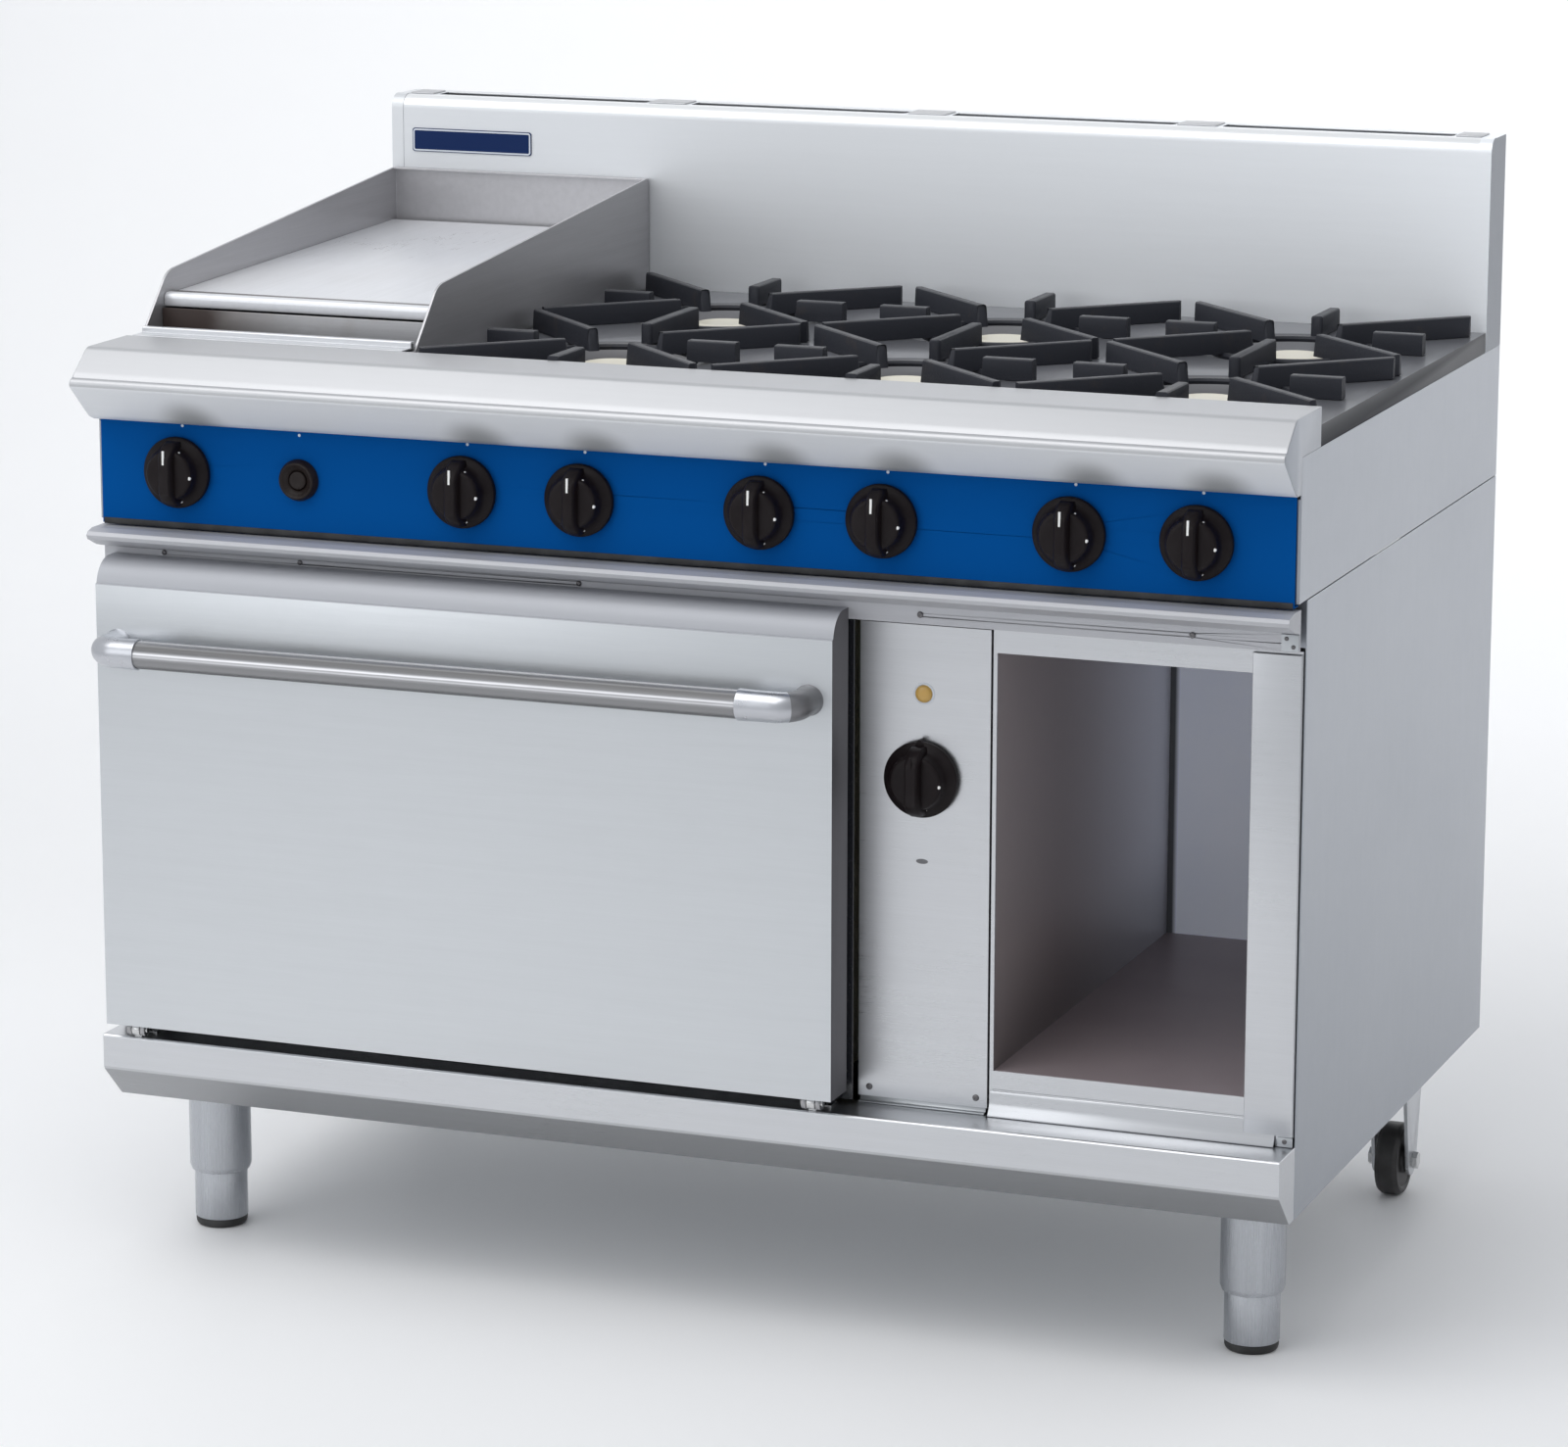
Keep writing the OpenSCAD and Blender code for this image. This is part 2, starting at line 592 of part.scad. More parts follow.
// each bracket: stem, ball, collar, plug inside the bar, and foot on the door
module handle_brackets() color("whitesmoke") centred() for (side = [0, 1]) {
  x = hinge_x[side];
  way = side == 0 ? 1 : -1;
  rod_y(x, [bar_y, door_y], bar_z, 11.5);
  translate([x, bar_y, bar_z]) sphere(r = 12.4);
  rod_x(beyond(x, way, 0, 35.8), bar_y, bar_z, 12.4);
  rod_x(beyond(x, way, 35, 60), bar_y, bar_z, handle_d / 2 - 1.6);
  rod_y(x, [door_y - 5, door_y], bar_z, 15);
}

// ---- cupboard ------------------------------------------------------------
opening_x = [308, half_w - 49];
opening_z = [268, 666];
frame_x = [panel_x[1] + 2, half_w - 2];
frame_z = [234, 689];
frame_t = 1.5;
module cabinet_liner() color("grey") centred() difference() {
  box(widen(opening_x, 1.5), [52, 602], widen(opening_z, 1.5));
  box(opening_x, [51, 600.5], opening_z);
}
module cabinet_frame() color("gainsboro") centred() difference() {
  union() {
    box(frame_x, span(panel_y, frame_t), frame_z);
    box(span(frame_x[0], frame_t), span(panel_y, 16), frame_z);
    box([frame_x[1] - frame_t, frame_x[1]], [panel_y, side_y - 0.1], frame_z);
    for (z = [frame_z[0], frame_z[1] - frame_t])
      box(frame_x, span(panel_y, 12), span(z, frame_t));
  }
  box(opening_x, [panel_y - 1, panel_y + 3], opening_z);
  // shallow groove below the opening
  box([panel_x[1] + 6, opening_x[1]], [panel_y - 0.1, panel_y + 0.5], [249, 250.2]);
}

// ---- legs and rollers ----------------------------------------------------
leg_x = half_w - 60;
leg_y = 131;
module front_leg_sleeves() color("silver") centred() both_sides() difference() {
  union() {
    translate([leg_x, leg_y, 0]) rotate_extrude() polygon([
      [0, 58], [sleeve_d / 2 - 2.5, 58], [sleeve_d / 2, 63],
      [sleeve_d / 2, leg_h - 4], [0, leg_h - 4]
    ]);
    rod_z(leg_x, leg_y, [leg_h - 4.5, leg_h], 40);
  }
  rod_z(leg_x, leg_y, [57, leg_h - 6], foot_d / 2 + 0.06);
}

module foot(side) color("silver") centred() translate([side * leg_x, leg_y, 0])
  rotate_extrude() polygon([
    [0, 0], [foot_d / 2 - 3, 0], [foot_d / 2 - 1, 2], [foot_d / 2 - 1, 8],
    [foot_d / 2, 9], [foot_d / 2, 140], [0, 140]
  ]);
module foot_left() foot(-1);
module foot_right() foot(1);

roller_y = 655;
axle_z = wheel_d / 2;
axle_r = 4.95;
axle_x = around(leg_x, wheel_w / 2 + 12);
// y from the axle, z
fork_prof = concat(
  [[-34, leg_h - 2], [-34, leg_h - 20]],
  arc(0, axle_z, 16, 200, 340, 7),
  [[34, leg_h - 20], [34, leg_h - 2]]
);
module roller_forks() color("gainsboro") centred() both_sides() difference() {
  union() {
    box(around(leg_x, 40), around(roller_y, 45), [leg_h - 3, leg_h]);
    for (x = [leg_x - wheel_w / 2 - 6, leg_x + wheel_w / 2 + 2])
      translate([0, roller_y, 0]) extrude_x(span(x, 4)) polygon(fork_prof);
  }
  rod_x(around(leg_x, 30), roller_y, axle_z, axle_r + 0.05);
}

module roller_axles() color("silver") centred() both_sides() {
  rod_x(axle_x, roller_y, axle_z, axle_r);
  // hexagon ends
  for (x = [axle_x[0], axle_x[1] - 5.95]) rod_x(span(x, 5.9), roller_y, axle_z, 9, $fn = 6);
}

// radius, distance in from the wheel's side; bore to tread
wheel_half = [
  [axle_r + 0.08, 0], [14, 0], [15, 3], [wheel_d / 2 - 9, 3], [wheel_d / 2 - 7, 1.5],
  [wheel_d / 2 - 3, 1.5], [wheel_d / 2, 6]
];
wheel_prof = concat(wheel_half,
  [for (i = [len(wheel_half) - 1:-1:0]) [wheel_half[i][0], wheel_w - wheel_half[i][1]]]);
module wheel(side) color([0.12, 0.11, 0.11]) centred()
  translate([side * leg_x - wheel_w / 2, roller_y, axle_z]) rotate([0, 90, 0])
    rotate_extrude() polygon(wheel_prof);
module wheel_left() wheel(-1);
module wheel_right() wheel(1);

// ---- knobs and screws ----------------------------------------------------
// a round skirt with a grip bar across it, bored for the spindle
module knob(d, h) difference() {
  r = d / 2;
  union() {
    rotate_extrude() polygon([
      [0, 0], [r - 1, 0], [r, 1.5], [r, 5], [r - 2, 8], [r - 7, 10], [r - 9, 12],
      [r - 11, h - 10], [r - 12, h - 8], [0, h - 8]
    ]);
    intersection() {
      translate([0, 0, 9]) linear_extrude(h - 9) rounded_rect(15, d - 7, 4);
      rotate_extrude() polygon([
        [0, 0], [r - 2, 0], [r - 2, h - 14], [r - 8, h - 3], [r - 12, h], [0, h]
      ]);
    }
  }
  translate([0, 0, -1]) cylinder(h = 23, r = spindle_r + knob_clear);
}
module gas_knob(i) color([0.08, 0.08, 0.08]) centred()
  face_front(gas_x[i], fascia_y - 2, knob_z) knob(knob_d, knob_h);
module knob_griddle() gas_knob(0);
module knob_1() gas_knob(1);
module knob_2() gas_knob(2);
module knob_3() gas_knob(3);
module knob_4() gas_knob(4);
module knob_5() gas_knob(5);
module knob_6() gas_knob(6);
module oven_knob() color([0.08, 0.08, 0.08]) centred()
  face_front(oven_knob_x, panel_y - 2, oven_knob_z) knob(oven_knob_d, 34);

module panel_screws() color("dimgrey") centred() {
  for (s = header_screws) {
    rod_y(s[0], [27.2, 29], s[1], 2.6);
    rod_y(s[0], [28.5, 34], s[1], 1.5);
  }
  for (x = widen(panel_x, -11)) rod_y(x, [panel_y - 1.6, panel_y], 240, 3.2);
}

base_front_rail();
bottom_pan();
side_panel_left();
side_panel_right();
hob_side_panels();
rear_panel();
splashback();
badge_plate();
bullnose_rail();
control_fascia();
header_rail();
hob_deck();
burner_bodies();
burner_caps();
gas_manifold();
gas_valves();
igniter_body();
griddle_plate();
griddle_guard();
griddle_trough();
griddle_burner();
grease_box();
oven_liner();
oven_insulation();
rack_guides();
oven_racks();
oven_elements();
oven_control_panel();
thermostat();
indicator_lamp();
cabinet_liner();
cabinet_frame();
front_leg_sleeves();
roller_forks();
roller_axles();
panel_screws();
door_seal();
hinge_lugs();
door_outer();
door_inner();
door_insulation();
handle_bar();
handle_brackets();
hinge_pins();
pot_support_left();
pot_support_centre();
pot_support_right();
knob_griddle();
knob_1();
knob_2();
knob_3();
knob_4();
knob_5();
knob_6();
oven_knob();
igniter_button();
wheel_left();
wheel_right();
foot_left();
foot_right();
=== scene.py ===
"""A commercial gas range: griddle, six open burners, a drop-door oven and an open cupboard.

Lengths are millimetres in the measured frame: x runs left to right with 0 in the middle,
y = 0 is the front of the base rail and grows towards the back, z = 0 is the floor.
place() turns them into the scene's metres. Shader positions are in metres.
"""
import bpy, bmesh, random
from math import sin, cos, pi, radians, copysign
from mathutils import Vector, Matrix

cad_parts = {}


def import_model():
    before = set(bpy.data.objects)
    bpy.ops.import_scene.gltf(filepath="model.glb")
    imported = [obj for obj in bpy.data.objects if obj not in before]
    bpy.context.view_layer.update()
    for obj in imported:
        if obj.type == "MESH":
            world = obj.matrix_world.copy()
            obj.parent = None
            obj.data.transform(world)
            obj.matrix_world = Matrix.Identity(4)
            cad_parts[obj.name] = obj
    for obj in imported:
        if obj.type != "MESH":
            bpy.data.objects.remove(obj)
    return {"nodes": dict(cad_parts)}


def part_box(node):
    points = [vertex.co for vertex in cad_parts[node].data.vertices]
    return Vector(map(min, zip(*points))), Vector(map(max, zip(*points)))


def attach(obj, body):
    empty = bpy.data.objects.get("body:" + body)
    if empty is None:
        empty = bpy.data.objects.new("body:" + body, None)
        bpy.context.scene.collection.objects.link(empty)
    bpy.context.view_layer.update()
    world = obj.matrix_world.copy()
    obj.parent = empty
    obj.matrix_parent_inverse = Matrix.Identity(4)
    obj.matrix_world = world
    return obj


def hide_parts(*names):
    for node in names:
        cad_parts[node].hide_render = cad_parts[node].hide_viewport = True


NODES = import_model()["nodes"]
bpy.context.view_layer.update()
scene = bpy.context.scene
random.seed(7)

FRONT_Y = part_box("side_panel_right")[1].y - 0.762     # scene y of the measured y = 0
SHEET = 1.5                                           # thickness of the folded sheet
CAP_RADIUS = 31.0                                     # burner cap
GAS_KNOBS = ["knob_griddle"] + ["knob_%d" % k for k in range(1, 7)]
SUPPORTS = ("left", "centre", "right")


def place(x, y, z):
    return Vector((x / 1000, y / 1000 + FRONT_Y, z / 1000))


def scene_y(y):
    return place(0, y, 0).y


def box_mm(node):
    """The low and high corners of a node's box in the measured frame."""
    low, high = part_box(node)
    return tuple(Vector((v.x * 1000, (v.y - FRONT_Y) * 1000, v.z * 1000)) for v in (low, high))


def middle(node):
    return [(a + b) / 2 for a, b in zip(*box_mm(node))]


# ------------------------------------------------------------------ shader helpers
class NodeTree:
    """Short ways to add and link the nodes of one tree."""

    def __init__(self, tree):
        self.tree = tree

    def node(self, kind, **settings):
        node = self.tree.nodes.new(kind)
        for key, value in settings.items():
            if hasattr(node, key):
                setattr(node, key, value)
            else:
                node.inputs[key].default_value = value
        return node

    def put(self, socket, value):
        """Feeds a socket with a number, a colour or another node's output."""
        if isinstance(value, (int, float)):
            socket.default_value = value
        elif isinstance(value, tuple):
            socket.default_value = (*value, 1.0)
        else:
            self.tree.links.new(value, socket)

    def math(self, operation, *values):
        node = self.node("ShaderNodeMath", operation=operation)
        for socket, value in zip(node.inputs, values):
            self.put(socket, value)
        return node.outputs[0]

    def add(self, a, b):
        return self.math("ADD", a, b)

    def sub(self, a, b):
        return self.math("SUBTRACT", a, b)

    def mul(self, a, b):
        return self.math("MULTIPLY", a, b)

    def split(self, vector):
        node = self.node("ShaderNodeSeparateXYZ")
        self.put(node.inputs[0], vector)
        return node.outputs


class Material(NodeTree):
    """A Principled material with textures in object coordinates."""

    INPUTS = {"color": "Base Color", "metal": "Metallic", "rough": "Roughness",
              "coat": "Coat Weight", "coat_rough": "Coat Roughness", "aniso": "Anisotropic",
              "spec": "Specular IOR Level", "sheen": "Sheen Weight",
              "trans": "Transmission Weight", "tangent": "Tangent",
              "emit": "Emission Color", "emit_strength": "Emission Strength"}

    def __init__(self, name):
        self.data = bpy.data.materials.new(name)
        self.data.use_nodes = True
        super().__init__(self.data.node_tree)
        self.tree.nodes.clear()
        self.out = self.node("ShaderNodeOutputMaterial")
        self.bsdf = self.node("ShaderNodeBsdfPrincipled")
        self.put(self.out.inputs[0], self.bsdf.outputs[0])
        self.coords = self.node("ShaderNodeTexCoord")

    def mapped(self, stretch=(1, 1, 1)):
        mapping = self.node("ShaderNodeMapping")
        mapping.inputs["Scale"].default_value = stretch
        self.put(mapping.inputs["Vector"], self.coords.outputs["Object"])
        return mapping.outputs[0]

    def noise(self, scale, detail=2.0, stretch=(1, 1, 1), rough=0.5):
        node = self.node("ShaderNodeTexNoise", Scale=scale, Detail=detail, Roughness=rough)
        self.put(node.inputs["Vector"], self.mapped(stretch))
        return node.outputs[0]

    def vary(self, noise, amount):
        """A noise centred on zero and scaled by amount."""
        return self.mul(self.sub(noise, 0.5), amount)

    def ramp(self, value, span, to=(0.0, 1.0), smooth=False):
        """Maps the span of a value to another range, clamped."""
        node = self.node("ShaderNodeMapRange", clamp=True)
        if smooth:
            node.interpolation_type = "SMOOTHSTEP"
        self.put(node.inputs["Value"], value)
        for key, number in zip(("From Min", "From Max", "To Min", "To Max"), (*span, *to)):
            node.inputs[key].default_value = number
        return node.outputs[0]

    def mix(self, factor, a, b, mode="MIX"):
        node = self.node("ShaderNodeMix", data_type="RGBA", blend_type=mode)
        for index, value in ((0, factor), (6, a), (7, b)):
            self.put(node.inputs[index], value)
        return node.outputs[2]

    def shade(self, color, value):
        """A colour multiplied by a grey value."""
        grey = self.node("ShaderNodeCombineXYZ")
        for socket in grey.inputs:
            self.put(socket, value)
        return self.mix(1.0, color, grey.outputs[0], "MULTIPLY")

    def set(self, **values):
        for key, value in values.items():
            self.put(self.bsdf.inputs[self.INPUTS[key]], value)

    def bump(self, height, strength, distance):
        """Distance is in metres."""
        node = self.node("ShaderNodeBump", Strength=strength, Distance=distance)
        self.put(node.inputs["Height"], height)
        self.put(self.bsdf.inputs["Normal"], node.outputs[0])

    def position(self):
        return self.split(self.coords.outputs["Object"])

    def normal(self):
        return self.split(self.node("ShaderNodeNewGeometry").outputs["Normal"])


# ------------------------------------------------------------------ kinds of material
def steel(name, base=(0.60, 0.61, 0.63), rough=0.30, grain="X", aniso=0.45, smudge=0.10,
          streak=0.07, scratches=0.0, tint=None, metal=1.0, across=None, under=None, knob_shadows=()):
    """Brushed stainless sheet: grain lines along one axis, cloudy marks, faint scratches.

    tint is (r, g, b, amount); across is (span, to), a brightness ramp along x, painted light;
    under is the brightness of faces that look down, painted shade; knob_shadows are the x places
    of soft dark spots painted as the knobs' shadows on the rail's underside above them.
    """
    mat = Material(name)

    def along_grain(stretch):
        return tuple(1 if axis == grain else stretch for axis in "XYZ")

    fine = mat.noise(scale=26, detail=3.0, stretch=along_grain(60), rough=0.65)
    wide = mat.noise(scale=5, detail=2.0, stretch=along_grain(30), rough=0.55)
    cloud = mat.noise(scale=3.2, detail=3.0, stretch=(1, 1, 1.6), rough=0.55)
    spots = mat.noise(scale=38, detail=4.0, rough=0.6)
    fine_lines = mat.vary(fine, amount=streak * 1.4)
    wide_lines = mat.vary(wide, amount=streak)
    marks = mat.vary(cloud, amount=smudge * 0.55)
    value = mat.add(mat.add(1.0, fine_lines), mat.add(wide_lines, marks))
    # painted light: a brightness ramp along x
    if across:
        value = mat.mul(value, mat.ramp(mat.position()[0], *across))
    # painted shade: faces that look down are darker
    if under:
        value = mat.mul(value, mat.ramp(mat.normal()[2], span=(-0.6, -0.2), to=(under, 1.0)))
    # painted shadows of the knobs: soft dark spots, one beside each knob
    shadow_z, flatten = 0.838, 1.3                      # height and squash of the painted knob shadows
    for shadow_x in knob_shadows:
        x, _, z = mat.position()
        far = mat.math("SQRT", mat.add(
            mat.math("POWER", mat.sub(x, shadow_x), 2.0),
            mat.math("POWER", mat.mul(mat.sub(z, shadow_z), flatten), 2.0)))
        value = mat.mul(value, mat.ramp(far, span=(0.006, 0.042), to=(0.5, 1.0), smooth=True))
    color = mat.shade(base, value)
    if tint:
        color = mat.mix(mat.ramp(cloud, span=(0.45, 0.7), to=(0, tint[3])), color, tint[:3])
    roughness = mat.add(
        mat.add(rough, mat.vary(fine, amount=0.14)),
        mat.add(mat.vary(cloud, amount=smudge), mat.vary(spots, amount=smudge * 0.35)))
    tangent = mat.node("ShaderNodeCombineXYZ", **{grain: 1.0})
    mat.set(color=color, metal=metal, rough=roughness, aniso=aniso, tangent=tangent.outputs[0])
    fine_share, wide_share = 1.0, 0.4
    height = mat.add(mat.mul(fine, fine_share), mat.mul(wide, wide_share))
    if scratches:
        lines = mat.noise(scale=9.0, detail=5.0, stretch=(4, 4, 40), rough=0.7)
        height = mat.add(height, mat.mul(mat.ramp(lines, span=(0.62, 0.66)), scratches))
    mat.bump(height, strength=0.10, distance=0.0004)
    return mat.data


def plain_metal(name, base, rough, grainy=0.12, cloud_scale=8, dirt=None, metal=1.0, bump=0.15,
                scale=90):
    """Metal without a grain direction; dirt is (r, g, b, amount)."""
    mat = Material(name)
    fine = mat.noise(scale=scale, detail=4.0, rough=0.6)
    cloud = mat.noise(scale=cloud_scale, detail=3.0, rough=0.6)
    value = mat.add(1.0, mat.add(mat.vary(fine, amount=grainy),
                                 mat.vary(cloud, amount=grainy * 1.4)))
    color = mat.shade(base, value)
    if dirt:
        color = mat.mix(mat.ramp(cloud, span=(0.5, 0.72), to=(0, dirt[3])), color, dirt[:3])
    mat.set(color=color, metal=metal, rough=mat.add(rough, mat.vary(fine, amount=0.2)))
    cloud_share = 0.5
    mat.bump(mat.add(fine, mat.mul(cloud, cloud_share)), strength=bump, distance=0.0004)
    return mat.data


def enamel(name, base, rough=0.22, speck=None, coat=0.3, dust=0.04, spec=0.5):
    """Baked enamel or paint: a little orange peel, faint dust and an optional speckle."""
    mat = Material(name)
    peel = mat.noise(scale=240)
    cloud = mat.noise(scale=7, detail=3.0)
    dusty = tuple(min(1, v * 1.25 + 0.01) for v in base)
    color = mat.mix(mat.ramp(cloud, span=(0.35, 0.75), to=(0, dust * 3)), base, dusty)
    if speck:
        cells = mat.node("ShaderNodeTexVoronoi", Scale=420.0)
        mat.put(cells.inputs["Vector"], mat.mapped())
        dots = mat.ramp(cells.outputs["Distance"], span=(0.0, 0.16), to=(0.8, 0.0))
        color = mat.mix(dots, color, speck)
    mat.set(color=color, metal=0.0, rough=mat.add(rough, mat.vary(cloud, amount=0.14)),
            coat=coat, coat_rough=0.08, spec=spec)
    mat.bump(peel, strength=0.045, distance=0.0003)
    return mat.data


def plastic(name, base, rough=0.34, bump=0.25, scale=900, wear=0.03, spec=0.5):
    mat = Material(name)
    fine = mat.noise(scale=scale, detail=3.0)
    cloud = mat.noise(scale=40, detail=3.0)
    worn = tuple(v + wear for v in base)
    color = mat.mix(mat.ramp(cloud, span=(0.4, 0.75)), base, worn)
    mat.set(color=color, metal=0.0, rough=mat.add(rough, mat.vary(cloud, amount=0.25)), spec=spec)
    mat.bump(fine, strength=bump, distance=0.0002)
    return mat.data


def iron(name, base=(0.021, 0.023, 0.032), top=(0.062, 0.063, 0.070)):
    """Matt cast iron: sand-cast grain, faces that look up paler, partly wear from pots and partly
    painted light from above, a trace of heat colour.
    """
    mat = Material(name)
    fine = mat.noise(scale=520, detail=4.0, rough=0.65)
    cloud = mat.noise(scale=34, detail=4.0, rough=0.6)
    # faces that look up turn paler: partly wear, partly painted light
    upward = mat.ramp(mat.normal()[2], span=(0.55, 0.95), smooth=True)
    lit_and_worn = mat.mul(upward, mat.ramp(cloud, span=(0.3, 0.6), to=(0.55, 1.0)))
    color = mat.mix(lit_and_worn, base, top)
    heat = mat.ramp(cloud, span=(0.6, 0.75), to=(0, 0.35))
    color = mat.mix(heat, color, (0.06, 0.045, 0.036))
    mat.set(color=color, metal=0.25,
            rough=mat.add(mat.ramp(lit_and_worn, span=(0, 1), to=(0.58, 0.46)),
                          mat.vary(fine, amount=0.22)))
    cloud_share = 0.7
    mat.bump(mat.add(fine, mat.mul(cloud, cloud_share)), strength=0.45, distance=0.0006)
    return mat.data


# ------------------------------------------------------------------ single materials
def cabinet():
    """Cupboard lining with light and shade painted in: brownish side walls that pale towards the
    back as painted light, a pale back wall that glows faintly as painted light, painted shade in
    the back's left corner and low on the side walls, and a dull brown floor."""
    mat = Material("stainless_cabinet")
    x, y, z = mat.position()
    normal_x, normal_y, normal_z = mat.normal()
    low, high = box_mm("cabinet_liner")

    def facing(component):
        return mat.ramp(mat.math("ABSOLUTE", component), span=(0.5, 0.7))

    fine = mat.noise(scale=26, detail=3.0, stretch=(60, 60, 1), rough=0.65)
    cloud = mat.noise(scale=9, detail=4.0)
    # painted light: the side walls pale towards the back
    pale_from = low.y + 0.30 * (high.y - low.y)
    painted_light_depth = mat.ramp(y, span=(scene_y(pale_from), scene_y(high.y)), smooth=True)
    wall = mat.mix(painted_light_depth, (0.33, 0.285, 0.285), (0.92, 0.93, 0.98))
    # painted shade low on the side walls, near the floor
    shade_near_floor = mat.ramp(z, span=(low.z / 1000, low.z / 1000 + 0.12), to=(0.55, 1.0),
                          smooth=True)
    # the back wall, painted pale as lit
    back = mat.mix(mat.ramp(cloud, span=(0.35, 0.7)), (0.82, 0.85, 0.93), (0.92, 0.94, 0.99))
    # painted shade: a dark line in the corner where the back meets the left wall
    corner_shade = mat.ramp(mat.sub(x, (low.x + 3) / 1000), span=(0.004, 0.009), to=(0.08, 1.0))
    color = mat.mix(facing(normal_y), wall, mat.shade(back, corner_shade))
    color = mat.mix(mat.ramp(normal_z, span=(0.5, 0.7)), color,
                    mat.mix(cloud, (0.24, 0.195, 0.205), (0.34, 0.285, 0.295)))
    color = mat.mix(facing(normal_x), color, mat.shade(color, shade_near_floor))
    # painted light: the back wall glows faintly, standing in for light inside the cupboard
    painted_back_glow = 0.11
    mat.set(emit=(0.62, 0.68, 0.82),
            emit_strength=mat.mul(mat.mul(facing(normal_y), corner_shade), painted_back_glow),
            color=color, metal=0.12, rough=mat.add(0.40, mat.vary(fine, amount=0.16)))
    mat.bump(fine, strength=0.08, distance=0.0004)
    return mat.data


def trough():
    """The grease channel: bright sheet with painted shade on its back wall under the plate's
    edge, and a dark brown patch round its left end, painted shade for the opening of the grease
    chute.
    """
    mat = Material("stainless_trough")
    x, y, _ = mat.position()
    cloud = mat.noise(scale=22, detail=4.0)
    fine = mat.noise(scale=26, detail=3.0, stretch=(1, 60, 60), rough=0.65)
    # painted shade: a dark brown patch where the grease chute opens at the left end
    chute_x = -0.571
    patch = mat.ramp(mat.add(mat.math("ABSOLUTE", mat.sub(x, chute_x)),
                             mat.vary(cloud, amount=0.03)),
                     span=(0.026, 0.062), to=(1, 0), smooth=True)
    floor = mat.ramp(y, span=(scene_y(114.2), scene_y(115.2)))
    wall = mat.ramp(y, span=(scene_y(149.2), scene_y(149.8)))
    chute_shade = mat.mul(patch, floor)
    color = mat.mix(mat.ramp(fine, span=(0.3, 0.7)), (0.58, 0.59, 0.61), (0.66, 0.67, 0.69))
    color = mat.mix(mat.mul(mat.ramp(cloud, span=(0.5, 0.75), to=(0, 0.35)), floor),
                    color, (0.36, 0.30, 0.25))
    # painted shade on the back wall under the plate's front edge, stronger at the left
    color = mat.mix(mat.mul(wall, mat.ramp(x, span=(-0.54, -0.44), to=(1.0, 0.45))),
                    color, (0.20, 0.185, 0.18))
    color = mat.mix(chute_shade, color, (0.045, 0.030, 0.026))
    mat.set(color=color, metal=mat.ramp(chute_shade, span=(0, 1), to=(0.7, 0.1)),
            rough=mat.ramp(chute_shade, span=(0, 1), to=(0.3, 0.5)))
    mat.bump(mat.add(fine, cloud), strength=0.12, distance=0.0005)
    return mat.data


def polished_bar():
    """Polished tube: bands along its length, as if it mirrored a floor, a wall and a ceiling."""
    mat = Material("handle_polished")
    normal_z = mat.normal()[2]
    fine = mat.noise(scale=60, detail=3.0, stretch=(0.6, 60, 60), rough=0.6)
    height = mat.add(normal_z, mat.vary(fine, amount=0.10))
    bands = mat.node("ShaderNodeValToRGB")
    elements = bands.color_ramp.elements
    # (place from the underside to the top, brightness)
    stops = [(0.0, 0.05), (0.10, 0.09), (0.22, 0.22), (0.40, 0.20), (0.48, 0.28), (0.53, 0.62),
             (0.58, 0.30), (0.63, 0.66), (0.69, 0.24), (0.78, 0.09), (0.86, 0.07), (0.94, 0.22),
             (1.0, 0.34)]
    while len(elements) < len(stops):
        elements.new(0.5)
    for k, (position, value) in enumerate(stops):
        elements[k].position = position
        elements[k].color = (value * 1.2, value * 1.2, value * 1.235, 1)
    mat.put(bands.inputs[0], mat.ramp(height, span=(-1, 1)))
    mat.set(color=bands.outputs[0], metal=0.55, rough=0.26, aniso=0.2)
    mat.bump(fine, strength=0.05, distance=0.0003)
    return mat.data


def wool():
    mat = Material("wool")
    fine = mat.noise(scale=120, detail=5.0, rough=0.75)
    cloud = mat.noise(scale=14, detail=3.0)
    color = mat.mix(fine, (0.42, 0.36, 0.2), (0.72, 0.66, 0.46))
    color = mat.mix(mat.ramp(cloud, span=(0.4, 0.8), to=(0, 0.5)), color, (0.5, 0.42, 0.24))
    mat.set(color=color, rough=0.95, sheen=0.3)
    mat.bump(fine, strength=0.9, distance=0.002)
    return mat.data


def amber():
    mat = Material("amber_lens")
    cloud = mat.noise(scale=200)
    mat.set(color=mat.mix(cloud, (0.56, 0.33, 0.075), (0.60, 0.38, 0.10)), rough=0.3, trans=0.1,
            coat=0.3)
    mat.bump(cloud, strength=0.1, distance=0.0003)
    return mat.data


STEEL = steel("stainless_panel")
# under: painted shade, faces of the base rail that look down are darker
STEEL_BASE = steel("stainless_base", under=0.60)
STEEL_DOOR = steel("stainless_door", base=(0.62, 0.64, 0.66), rough=0.33, smudge=0.12,
                   streak=0.05)
# darker, duller copy for the door's top fold: painted shade under the hob's nose
STEEL_FOLD_SHADE = steel("stainless_fold_shade", base=(0.46, 0.47, 0.50), rough=0.58, smudge=0.08,
                  streak=0.05, metal=0.35)
# dark copy for the door's right end: painted shade
STEEL_END_SHADE = steel("stainless_end_shade", base=(0.16, 0.155, 0.165), rough=0.5, grain="Z",
                   smudge=0.06, streak=0.10, metal=0.6)
STEEL_HEADER = steel("stainless_header", base=(0.50, 0.505, 0.53), rough=0.55, smudge=0.16,
                     streak=0.10, metal=0.4)
